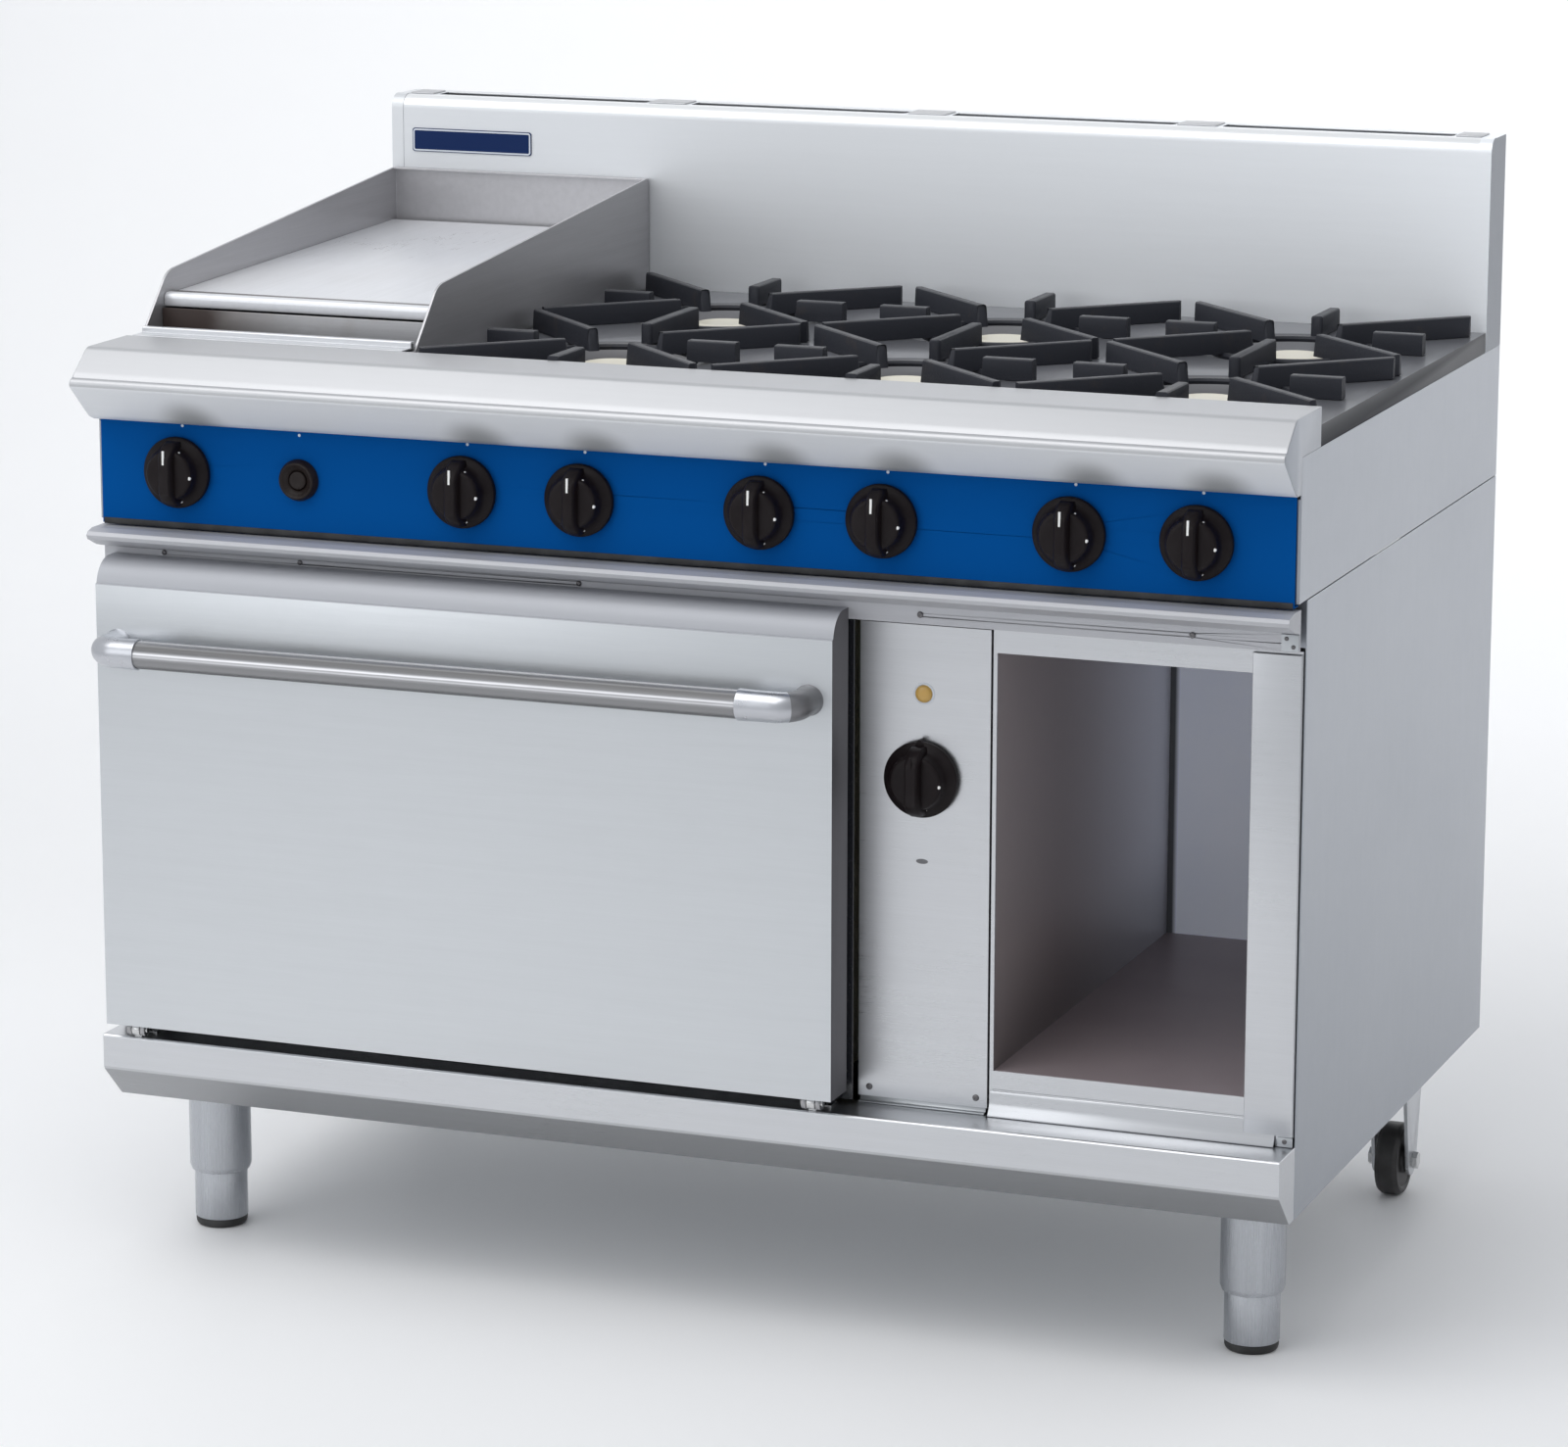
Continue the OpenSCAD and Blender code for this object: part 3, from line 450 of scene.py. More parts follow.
# sheets that face the right: vertical grain, and a darker copy of the steel as painted shade
STEEL_SIDE_SHADE = steel("stainless_side_shade", base=(0.355, 0.374, 0.408), rough=0.34, grain="Z",
                   smudge=0.12, streak=0.05)
KNOB_SHADOW_SHIFT = 0.026                                    # metres from each knob to its painted shadow, which sits to the right
# faces of the hob rail that look down: a paler, duller copy of the steel as painted light from
# below, with painted knob shadows
STEEL_UNDER_LIT = steel("stainless_under_lit", base=(0.72, 0.735, 0.755), rough=0.55, smudge=0.05,
                    streak=0.03, metal=0.25,
                    knob_shadows=[middle(node)[0] / 1000 + KNOB_SHADOW_SHIFT for node in GAS_KNOBS])
# painted light: the splashback grows brighter towards the right
STEEL_SPLASH = steel("stainless_splash", base=(0.81, 0.83, 0.855), rough=0.42, smudge=0.05,
                     streak=0.03, metal=0.42, across=((-0.6, 0.6), (0.86, 1.16)))
# darker copy for the splashback's faces to the right: painted shade
SPLASH_END_SHADE = steel("stainless_splash_end_shade", base=(0.30, 0.315, 0.345), rough=0.5, grain="Z",
                   smudge=0.05, streak=0.03, metal=0.5)
# paler copy for the splashback's top fold: painted light
STEEL_TOP_LIT = steel("stainless_top_lit", base=(0.86, 0.87, 0.88), rough=0.34, smudge=0.03,
                  streak=0.02, metal=0.5)
STEEL_CABINET = cabinet()
STEEL_NOSE = steel("stainless_nose", base=(0.52, 0.525, 0.54), rough=0.45, aniso=0.3,
                   streak=0.04, metal=0.7)
STEEL_IN = steel("stainless_inner", base=(0.40, 0.405, 0.42), rough=0.36, grain="Z",
                 streak=0.16, smudge=0.16, tint=(0.30, 0.25, 0.22, 0.25))
STEEL_GUARD = steel("stainless_guard", base=(0.49, 0.485, 0.50), rough=0.40, grain="Y",
                    streak=0.18, smudge=0.20, metal=0.75)
STEEL_TROUGH = trough()
PLATE = steel("griddle_plate", base=(0.74, 0.75, 0.78), rough=0.34, grain="Y", streak=0.12,
              smudge=0.22, scratches=0.5, tint=(0.44, 0.41, 0.38, 0.22), metal=0.4)
# dark copy for the groove behind the griddle's front lip: painted shade in the recess, with
# smudges
PLATE_GROOVE_SHADE = steel("griddle_groove_shade", base=(0.16, 0.15, 0.15), rough=0.42, streak=0.2,
                   smudge=0.5, metal=0.6)
LEG = steel("leg_steel", base=(0.47, 0.485, 0.515), rough=0.27, grain="Z", aniso=0.3,
            streak=0.16)
ZINC = plain_metal("zinc_sheet", (0.50, 0.52, 0.54), rough=0.48, grainy=0.22, cloud_scale=24)
WIRE = plain_metal("plated_wire", (0.62, 0.62, 0.62), rough=0.24, grainy=0.08)
ELEMENT = plain_metal("element_sheath", (0.16, 0.14, 0.13), rough=0.5, grainy=0.4,
                      dirt=(0.26, 0.15, 0.09, 0.6))
BRASS = plain_metal("valve_brass", (0.58, 0.43, 0.2), rough=0.34, grainy=0.14,
                    dirt=(0.3, 0.2, 0.1, 0.3))
ALLOY = plain_metal("burner_alloy", (0.36, 0.36, 0.36), rough=0.55, grainy=0.4,
                    dirt=(0.12, 0.1, 0.09, 0.6), bump=0.5, scale=260)
HANDLE = polished_bar()
CAST = plain_metal("handle_cast", (0.52, 0.53, 0.56), rough=0.30, grainy=0.05, bump=0.06)
BLUE = enamel("fascia_blue", (0.0006, 0.072, 0.285), rough=0.6, coat=0.0, dust=0.01, spec=0.02)
NAVY = enamel("badge_blue", (0.003, 0.018, 0.085), rough=0.4, coat=0.0, spec=0.15)
# darker copy of the enamel for the hob's folded edges: painted shade
HOB_EDGE_SHADE = enamel("hob_edge_shade", (0.045, 0.046, 0.052), rough=0.5, coat=0.0)
HOB = enamel("hob_enamel", (0.118, 0.121, 0.135), rough=0.34, speck=(0.3, 0.3, 0.31), coat=0.15)
CREAM = enamel("cap_cream", (0.70, 0.665, 0.56), rough=0.42, dust=0.1, speck=(0.35, 0.3, 0.22),
               coat=0.1)
OVEN = enamel("oven_enamel", (0.018, 0.019, 0.024), rough=0.25, speck=(0.30, 0.31, 0.34),
              coat=0.5)
# white for the knobs' dots, one of them a painted glint, and for the gas knobs' pointer line, a
# painted highlight
WHITE_PRINT_AND_GLINT = enamel("print_and_glint_white", (0.82, 0.82, 0.80), rough=0.45, coat=0.0)
PALE = enamel("badge_border", (0.62, 0.66, 0.72), rough=0.4, coat=0.0)
KNOB = plastic("knob_black", (0.0085, 0.0055, 0.0062), rough=0.42, wear=0.004, spec=0.15)
IGNITER = plastic("igniter_dark", (0.014, 0.009, 0.008), rough=0.38, wear=0.008, spec=0.2)
ROLLER = plastic("roller_black", (0.02, 0.018, 0.018), rough=0.5)
RUBBER = plastic("seal_rubber", (0.013, 0.013, 0.014), rough=0.6, bump=0.6, scale=500)
SOLE = plastic("foot_sole", (0.015, 0.015, 0.015), rough=0.55)
IRON = iron("cast_iron_black")
IRON_DULL = iron("burner_iron", base=(0.05, 0.048, 0.046), top=(0.07, 0.068, 0.066))
WOOL = wool()
AMBER = amber()
SCREW = plain_metal("screw_dark", (0.17, 0.165, 0.17), rough=0.4, grainy=0.2, metal=0.8)
# darker copy of the cast metal: painted shade
CAST_SHADE = plain_metal("handle_cast_shade", (0.24, 0.24, 0.25), rough=0.42, grainy=0.05,
                        bump=0.06, metal=0.7)
MARK = plain_metal("print_grey", (0.16, 0.16, 0.17), rough=0.6, metal=0.0)
WELL = steel("well_steel", base=(0.20, 0.202, 0.212), rough=0.40, aniso=0.0, streak=0.02,
             smudge=0.2, tint=(0.22, 0.19, 0.17, 0.3))


# ------------------------------------------------------------------ mesh helpers
def outward(mesh):
    bmesh.ops.recalc_face_normals(mesh, faces=mesh.faces)


def add(name, mesh, materials, body="chassis", replaces=None, smooth=30, recalc=True):
    """Edges sharper than smooth degrees stay crisp.
    """
    if recalc:
        outward(mesh)
    data = bpy.data.meshes.new(name)
    mesh.to_mesh(data)
    mesh.free()
    ob = bpy.data.objects.new(name, data)
    scene.collection.objects.link(ob)
    for material in materials if isinstance(materials, list) else [materials]:
        data.materials.append(material)
    for polygon in data.polygons:
        polygon.use_smooth = True
    data.set_sharp_from_angle(angle=radians(smooth))
    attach(ob, body)
    if replaces:
        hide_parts(replaces)
    return ob


def round_edges(ob, width, segments=2, angle=50):
    """A modifier that rounds edges sharper than angle degrees."""
    bevel = ob.modifiers.new("edges", "BEVEL")
    bevel.width, bevel.segments = width / 1000, segments
    bevel.limit_method, bevel.angle_limit = "ANGLE", radians(angle)
    bevel.harden_normals = True


def round_mesh(mesh, width, segments=2, angle=30, edges=None):
    """Rounds the given edges, or every edge sharper than angle degrees, in the mesh itself."""
    outward(mesh)
    if edges is None:
        edges = [e for e in mesh.edges
                 if len(e.link_faces) == 2 and e.calc_face_angle(0) > radians(angle)]
    bmesh.ops.bevel(mesh, geom=edges, offset=width / 1000, segments=segments, profile=0.5,
                    affect="EDGES", clamp_overlap=True)


def paint(mesh, rule):
    """Gives each face the material slot that rule(normal, centre in metres) returns."""
    outward(mesh)
    for face in mesh.faces:
        face.material_index = int(rule(face.normal, face.calc_center_median()))


def ring_of(mesh, frame, points):
    return [mesh.verts.new(frame @ Vector(p)) for p in points]


def bridge(mesh, ring_a, ring_b, material=0):
    """A band of quads between two closed rings."""
    count = len(ring_a)
    for k in range(count):
        after = (k + 1) % count
        face = mesh.faces.new((ring_a[k], ring_a[after], ring_b[after], ring_b[k]))
        face.material_index = material


def tube(mesh, rings, material=0):
    """A solid skinned over closed rings, with flat ends."""
    for ring_a, ring_b in zip(rings, rings[1:]):
        bridge(mesh, ring_a, ring_b, material)
    for end in (rings[0][::-1], rings[-1]):
        mesh.faces.new(end).material_index = material


def prism(mesh, outline, x0, x1):
    """A closed (y, z) outline drawn out along x."""
    tube(mesh, [[mesh.verts.new(place(x, y, z)) for y, z in outline] for x in (x0, x1)])


def box(mesh, x0, x1, y0, y1, z0, z1):
    prism(mesh, [(y0, z0), (y1, z0), (y1, z1), (y0, z1)], x0, x1)


def arc(y, z, radius, start, end, steps):
    """(y, z) points round a centre, angles in degrees."""
    angles = [radians(start + (end - start) * k / steps) for k in range(steps + 1)]
    return [(y + radius * cos(a), z + radius * sin(a)) for a in angles]


def circle(x, y, radius, count):
    return [(x + radius * cos(2 * pi * k / count), y + radius * sin(2 * pi * k / count))
            for k in range(count)]


def lathe(mesh, profile, frame, segments=72, material=0, closed=False):
    """Turns (radius, height) points round the local z axis of a frame."""
    rings = []
    for radius, height in profile:
        if radius < 1e-6:
            rings.append([mesh.verts.new(frame @ Vector((0, 0, height)))])
        else:
            points = [(x, y, height) for x, y in circle(0, 0, radius, segments)]
            rings.append(ring_of(mesh, frame, points))
    for a, b in zip(rings, rings[1:] + (rings[:1] if closed else [])):
        if len(a) > 1 and len(b) > 1:
            bridge(mesh, a, b, material)
            continue
        for k in range(segments):
            after = (k + 1) % segments
            corners = (a[0], b[after], b[k]) if len(a) == 1 else (a[k], a[after], b[0])
            mesh.faces.new(corners).material_index = material


FACING = {"up": Matrix.Identity(3),                   # where a frame's local z points
          "front": Matrix(((1, 0, 0), (0, 0, -1), (0, 1, 0))),
          "right": Matrix(((0, 0, 1), (1, 0, 0), (0, 1, 0)))}
MILLIMETRES = Matrix.Diagonal((0.001, 0.001, 0.001, 1))


def frame_at(x, y, z, facing="up"):
    """A local frame in millimetres at a place of the measured frame."""
    return Matrix.Translation(place(x, y, z)) @ FACING[facing].to_4x4() @ MILLIMETRES


def boolean(base, tools, operation="DIFFERENCE"):
    """The exact boolean of a base mesh and its tool meshes, as a new mesh."""
    obs = []
    for mesh in [base] + tools:
        outward(mesh)
        data = bpy.data.meshes.new("tmp")
        mesh.to_mesh(data)
        mesh.free()
        obs.append(bpy.data.objects.new("tmp", data))
        scene.collection.objects.link(obs[-1])
    for tool in obs[1:]:
        modifier = obs[0].modifiers.new("b", "BOOLEAN")
        modifier.operation, modifier.object, modifier.solver = operation, tool, "EXACT"
    result = baked(obs[0])
    for ob in obs:
        data = ob.data
        bpy.data.objects.remove(ob)
        bpy.data.meshes.remove(data)
    return result


def baked(ob):
    """An object's evaluated shape as a new mesh."""
    depsgraph = bpy.context.evaluated_depsgraph_get()
    data = bpy.data.meshes.new_from_object(ob.evaluated_get(depsgraph), depsgraph=depsgraph)
    mesh = bmesh.new()
    mesh.from_mesh(data)
    bpy.data.meshes.remove(data)
    return mesh


def clean(mesh, distance, angle):
    """Merges close points and flattens near-level edges left by a boolean."""
    bmesh.ops.remove_doubles(mesh, verts=mesh.verts, dist=distance / 1000)
    bmesh.ops.dissolve_degenerate(mesh, edges=mesh.edges, dist=distance / 1000)
    bmesh.ops.dissolve_limit(mesh, angle_limit=radians(angle), verts=mesh.verts,
                             edges=mesh.edges)


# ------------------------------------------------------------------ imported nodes
def dress(node, material, width, segments=2, angle=32):
    """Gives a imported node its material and, if width is set, rounded edges."""
    ob = NODES[node]
    ob.data.materials.clear()
    ob.data.materials.append(material)
    if width:
        ob.modifiers.new("weld", "WELD").merge_threshold = 0.00002
        round_edges(ob, width, segments, angle)


# (material, edge rounding, nodes)
DRESSES = [
    (ZINC, 0.6, "bottom_pan thermostat"),
    (ZINC, 0.4, "rear_panel"),
    (ZINC, 0, "gas_manifold"),
    (STEEL_SIDE_SHADE, 0.7, "side_panel_left side_panel_right hob_side_panels"),
    (STEEL_HEADER, 0.5, "header_rail"),
    (BLUE, 0.5, "control_fascia"),
    (ALLOY, 0, "burner_bodies"),
    (BRASS, 0.5, "gas_valves"),
    (IGNITER, 0.4, "igniter_body"),
    (IGNITER, 0.5, "igniter_button"),
    (STEEL_GUARD, 0.5, "griddle_guard"),
    (STEEL_TROUGH, 0.4, "griddle_trough"),
    (IRON_DULL, 0, "griddle_burner"),
    (STEEL_IN, 0.4, "grease_box"),
    (STEEL_IN, 0.5, "door_inner"),
    (OVEN, 0.8, "oven_liner"),
    (WOOL, 3, "oven_insulation door_insulation"),
    (WIRE, 0, "rack_guides oven_racks panel_screws"),
    (WIRE, 0.3, "hinge_pins"),
    (WIRE, 0.4, "hinge_lugs"),
    (WIRE, 0.5, "roller_axles"),
    (ELEMENT, 0, "oven_elements"),
    (AMBER, 0, "indicator_lamp"),
    (STEEL_CABINET, 0.5, "cabinet_liner"),
    (STEEL, 0, "oven_control_panel"),
    (STEEL, 0.5, "cabinet_frame"),
    (STEEL, 0.6, "roller_forks splashback bullnose_rail door_outer"),
    (LEG, 0.5, "front_leg_sleeves foot_left foot_right"),
    (RUBBER, 0, "door_seal"),
    (HANDLE, 0, "handle_bar"),
    (CAST, 0, "handle_brackets"),
    (NAVY, 0.4, "badge_plate"),
    (CREAM, 0.6, "burner_caps"),
    (ROLLER, 0.6, "wheel_left wheel_right"),
    (HOB, 0.4, "hob_deck"),
    (IRON, 0.6, "pot_support_left pot_support_centre pot_support_right"),
    (KNOB, 0.5, " ".join(GAS_KNOBS + ["oven_knob"])),
]
for material, width, nodes in DRESSES:
    for node in nodes.split():
        dress(node, material, width)
# the base rail's faces that look down are darker: painted shade
dress("base_front_rail", STEEL_BASE, width=1.2, segments=3, angle=20)
dress("griddle_plate", PLATE, width=1.2, segments=3)

# ------------------------------------------------------------------ hob front rail
low, high = box_mm("bullnose_rail")
top, nose = high.z, low.y
# (y, z): over the top, round the nose, down the apron and back inside
outline = (
    [(85, top), (40, top)] + arc(8, top - 14, 14, 90, 128, 12)
    + [(nose + 12, top - 20.2), (nose + 9, top - 22.6), (nose + 7.6, top - 24.6),
       (nose + 6.8, top - 25.6)]
    + arc(nose + 5.5, top - 31.5, 5.5, 100, 222, 16)
    + [(-2, top - 62.6), (0.6, top - 64.9), (4, top - 67.6), (12, top - 71), (24, top - 71),
       (24, top - 36.5), (85, top - 36.5)])
mesh = bmesh.new()
prism(mesh, outline, low.x, high.x)
# faces that look down and forward take the paler copy: painted light from below and painted knob
# shadows
paint(mesh, lambda normal, centre: normal.z < -0.35 and normal.y < -0.1)
ob = add("hob_front_rail", mesh, [STEEL_NOSE, STEEL_UNDER_LIT],
         replaces="bullnose_rail", smooth=24)
round_edges(ob, 0.7, angle=45)

# end caps, a hair proud of the rail's ends
outline = (
    [(84.5, top - 0.3)] + arc(8, top - 14, 13.6, 90, 128, 10)
    + [(nose + 9.4, top - 22.8), (nose + 7.4, top - 25.2)]
    + arc(nose + 5.5, top - 31.5, 5.2, 104, 222, 12)
    + [(0.4, top - 64.3), (4.3, top - 67.6), (12.2, top - 70.7), (23.8, top - 70.8),
       (23.8, top - 36.8), (84.5, top - 36.8)])
for side, x0, x1 in (("left", low.x - 0.25, low.x + 2.4), ("right", high.x - 2.4, high.x + 0.25)):
    mesh = bmesh.new()
    prism(mesh, outline, x0, x1)
    round_mesh(mesh, 0.5, angle=45)
    add("rail_end_cap_" + side, mesh, STEEL_SIDE_SHADE, smooth=35)

# ------------------------------------------------------------------ splashback with flue slots
low, high = box_mm("splashback")
top, front, back = high.z, low.y, high.y
FOLD = 14                                             # radius of the top front fold
FLUE_PITCH, FLUE_HALF = 290, 120
BRIDGE_GAP = 124                                      # from a flue's middle to a bridge
flues = [FLUE_PITCH * (k - 1.5) for k in range(4)]


def splash_outline(inset, bottom):
    return ([(front + inset, bottom)]
            + arc(front + FOLD, top - FOLD, FOLD - inset, 180, 90, 12)
            + [(back - inset, top - inset), (back - inset, bottom)])


outer, inner = bmesh.new(), bmesh.new()
prism(outer, splash_outline(0, low.z), low.x, high.x)
prism(inner, splash_outline(SHEET, low.z - 2), low.x + SHEET, high.x - SHEET)
slots = []
for x in flues:
    slot = bmesh.new()
    box(slot, x - FLUE_HALF, x + FLUE_HALF, front + 20, front + 46, top - 9, top + 3)
    upright = [e for e in slot.edges
               if abs((e.verts[0].co - e.verts[1].co).normalized().z) > 0.9]
    round_mesh(slot, 5, segments=4, edges=upright)
    slots.append(slot)
mesh = boolean(outer, [inner] + slots)
clean(mesh, distance=0.01, angle=0.3)


def splash_slot(normal, centre):
    """1 for the top fold, a paler copy as painted light, 2 for faces to the right, a darker copy
    as painted shade, 0 elsewhere.
    """
    if normal.z > 0.3 and centre.y < scene_y(front + 15.5) and centre.z > (top - 16) / 1000:
        return 1
    return 2 if normal.x > 0.7 else 0


paint(mesh, splash_slot)
ob = add("splashback_shell", mesh, [STEEL_SPLASH, STEEL_TOP_LIT, SPLASH_END_SHADE],
         replaces="splashback", smooth=28)
round_edges(ob, 0.5)

# raised strips between the slots and out to the ends
mesh = bmesh.new()
for x0, x1 in zip([low.x + 14] + [x + BRIDGE_GAP for x in flues],
                  [x - BRIDGE_GAP for x in flues] + [high.x - 14]):
    box(mesh, x0, x1, front + 17, front + 49, top, top + 1.6)
round_mesh(mesh, 0.8)
add("flue_bridges", mesh, STEEL_NOSE)

# thin upright strips just under the slots
mesh = bmesh.new()
for x in flues:
    for k in range(3):
        y = front + 22 + k * 8
        box(mesh, x - FLUE_HALF + 1, x + FLUE_HALF - 1, y, y + 1.2, top - 34, top - 5)
add("flue_baffles", mesh, STEEL_IN)

# end caps folded over the sheet's ends
outline = ([(front - 0.5, low.z + 2)] + arc(front + FOLD, top - FOLD, 14.5, 180, 90, 12)
           + [(front + 18, top + 0.5), (front + 18, top - 0.5)]
           + arc(front + FOLD, top - FOLD, 13.6, 90, 180, 12) + [(front + 0.4, low.z + 2)])
for side, x0, x1 in (("left", low.x - 0.2, low.x + 13), ("right", high.x - 13, high.x + 0.2)):
    mesh = bmesh.new()
    prism(mesh, outline, x0, x1)
    # faces to the right take the darker copy: painted shade
    paint(mesh, lambda normal, centre: normal.x > 0.7)
    add("splash_end_" + side, mesh, [STEEL_SPLASH, SPLASH_END_SHADE], smooth=28)

# ------------------------------------------------------------------ badge border
low, high = box_mm("badge_plate")
badge_x, _, badge_z = middle("badge_plate")
BORDER_INSET, BORDER_WIDTH, BORDER_RADIUS = 0.8, 1.6, 3.0


def badge_ring(mesh, inset, radius, y):
    """A rounded rectangle, inset from the plate's edge, at depth y."""
    half_x = (high.x - low.x) / 2 - inset - radius
    half_z = (high.z - low.z) / 2 - inset - radius
    ring = []
    for sign_x, sign_z, start in ((1, 1, 0), (-1, 1, 90), (-1, -1, 180), (1, -1, 270)):
        for k in range(6):
            angle = radians(start + 90 * k / 5)
            ring.append(mesh.verts.new(place(badge_x + sign_x * half_x + radius * cos(angle), y,
                                             badge_z + sign_z * half_z + radius * sin(angle))))
    return ring


mesh = bmesh.new()
outer_edge = (BORDER_INSET, BORDER_RADIUS)
inner_edge = (BORDER_INSET + BORDER_WIDTH, BORDER_RADIUS - BORDER_WIDTH)
rings = [badge_ring(mesh, *edge, y)
         for edge, y in ((outer_edge, low.y - 0.25), (inner_edge, low.y - 0.25),
                         (inner_edge, low.y + 0.4), (outer_edge, low.y + 0.4))]
for ring_a, ring_b in zip(rings, rings[1:] + rings[:1]):
    bridge(mesh, ring_a, ring_b)
add("badge_border", mesh, PALE)

# ------------------------------------------------------------------ door skin
low, high = box_mm("door_outer")
door_front, back, bottom, top = low.y, high.y, low.z, high.z
# (y, z) from the bottom back edge, up the front and over the top; open at the back
outline = (
    [(back, bottom), (door_front, bottom), (door_front, bottom + 60), (door_front, top - 120),
     (door_front, top - 24.2), (door_front + 0.3, top - 23.4), (door_front + 2.0, top - 22.8)]
    + arc(15, top - 27, 27, 171.5, 94, 16) + [(back - 6, top), (back, top)])
mesh = bmesh.new()
left, right = [[mesh.verts.new(place(x, y, z)) for y, z in outline] for x in (low.x, high.x)]
for k in range(len(outline) - 1):
    mesh.faces.new((left[k], left[k + 1], right[k + 1], right[k]))
mesh.faces.new(left[::-1])
mesh.faces.new(right)
outward(mesh)
inside = [e for e in mesh.edges if len(e.link_faces) == 2]
end_edges = [e for e in inside if any(len(f.verts) > 4 for f in e.link_faces)]
folds = [e for e in inside if e.calc_face_angle(0) > radians(60) and e not in end_edges]
round_mesh(mesh, 1.6, segments=3, edges=end_edges + folds)


def door_slot(normal, centre):
    """1 for the top fold and 2 for the right end, both darker copies of the steel as painted
    shade, 0 elsewhere.
    """
    if centre.z > (top - 25) / 1000 and abs(normal.x) < 0.5 and normal.z > 0.12:
        return 1
    return 2 if normal.x > 0.6 else 0


paint(mesh, door_slot)
ob = add("door_skin", mesh, [STEEL_DOOR, STEEL_FOLD_SHADE, STEEL_END_SHADE], body="door",
         replaces="door_outer", smooth=40)
sheet = ob.modifiers.new("sheet", "SOLIDIFY")
sheet.thickness, sheet.offset, sheet.use_even_offset = SHEET / 1000, -1, True

# ------------------------------------------------------------------ door handle
low, high = box_mm("handle_brackets")
bar_low, bar_high = box_mm("handle_bar")
_, bar_y, bar_z = middle("handle_bar")
bar_radius = (bar_high.z - bar_low.z) / 2
post_left, post_right = low.x + 13.2, high.x - 13.2
BEND = 19.0                                           # radius of an elbow's centre line
POST = [(door_front + 0.2, 14.9), (door_front - 1.0, 14.2), (door_front - 2.0, 13.8),
        (door_front - 8, 13.6), (bar_y + BEND, 13.6)]  # (y, radius)
BEND_STEPS = 12
SLEEVE = [(0.45, 14.6), (0.8, 14.8), (0.93, 15.0), (0.985, 15.0), (1.0, 14.2),
          (1.0, bar_radius + 0.1), (0.9, bar_radius + 0.1)]   # (share of the length, radius)


def elbow(side, post_x, inward, reach):
    """A cast elbow: a post off the door, a bend, then a sleeve along the bar.

    inward is +1 or -1 along x; reach is the sleeve's end, measured from the post.
    """
    bend_x = post_x + inward * BEND
    stations = [(post_x, y, radius, 0) for y, radius in POST]     # (x, y, radius, turn)
    for k in range(1, BEND_STEPS + 1):
        turn = radians(90 * k / BEND_STEPS)
        stations.append((post_x + inward * BEND * (1 - cos(turn)),
                         bar_y + BEND - BEND * sin(turn), 13.6 + 1.0 * k / BEND_STEPS, turn))
    length = reach - BEND
    stations += [(bend_x + inward * length * share, bar_y, radius, pi / 2)
                 for share, radius in SLEEVE]
    mesh = bmesh.new()
    rings = [[mesh.verts.new(place(x - across * cos(turn), y - across * inward * sin(turn),
                                   bar_z + rise))
              for across, rise in circle(0, 0, radius, 40)]
             for x, y, radius, turn in stations]
    for k, (ring_a, ring_b) in enumerate(zip(rings, rings[1:])):
        # painted shade: the right elbow's post and half its bend are darker
        bridge(mesh, ring_a, ring_b, 1 if side == "right" and k < 11 else 0)
    mesh.faces.new(rings[0][::-1])
    mesh.faces.new(rings[-1])
    add("handle_elbow_" + side, mesh, [CAST, CAST_SHADE], body="door",
        replaces="handle_brackets" if side == "left" else None, smooth=50)


elbow("left", post_left, inward=1, reach=43)
elbow("right", post_right, inward=-1, reach=53)

# the bar, long enough to run into both sleeves
start = post_left + 21
length = post_right - 21 - start
mesh = bmesh.new()
lathe(mesh, [(bar_radius - 1.6, 0), (bar_radius, 0.6), (bar_radius, length * 0.25),
             (bar_radius, length * 0.5), (bar_radius, length * 0.75), (bar_radius, length - 0.6),
             (bar_radius - 1.6, length)], frame_at(start, bar_y, bar_z, "right"), segments=64)
bmesh.ops.holes_fill(mesh, edges=[e for e in mesh.edges if e.is_boundary])
add("handle_tube", mesh, HANDLE, body="door", replaces="handle_bar",
    smooth=40)


# ------------------------------------------------------------------ knobs
def grip(mesh, frame, half_width, half_length, base, top):
    """The raised grip: waisted, crowned along its length and softly rounded."""
    roundness = 0.36
    rings = []
    for i in range(29):
        t = -1 + 2 * i / 28
        crown = top - (top - base) * max(0.0, abs(t) - 0.42) ** 2.2 * 2.1
        width = half_width * (1 - 0.10 * (1 - t * t)) * (1 - max(0, abs(t) - 0.86) * 1.9)
        points = []
        for j in range(11):
            across, rise = cos(pi * j / 10), abs(sin(pi * j / 10))
            x = width * copysign(abs(across) ** roundness, across) * (1 - 0.13 * rise ** 0.5)
            points.append((x, half_length * t, base + (crown - base) * rise ** roundness))
        rings.append(ring_of(mesh, frame, points))
    tube(mesh, rings)


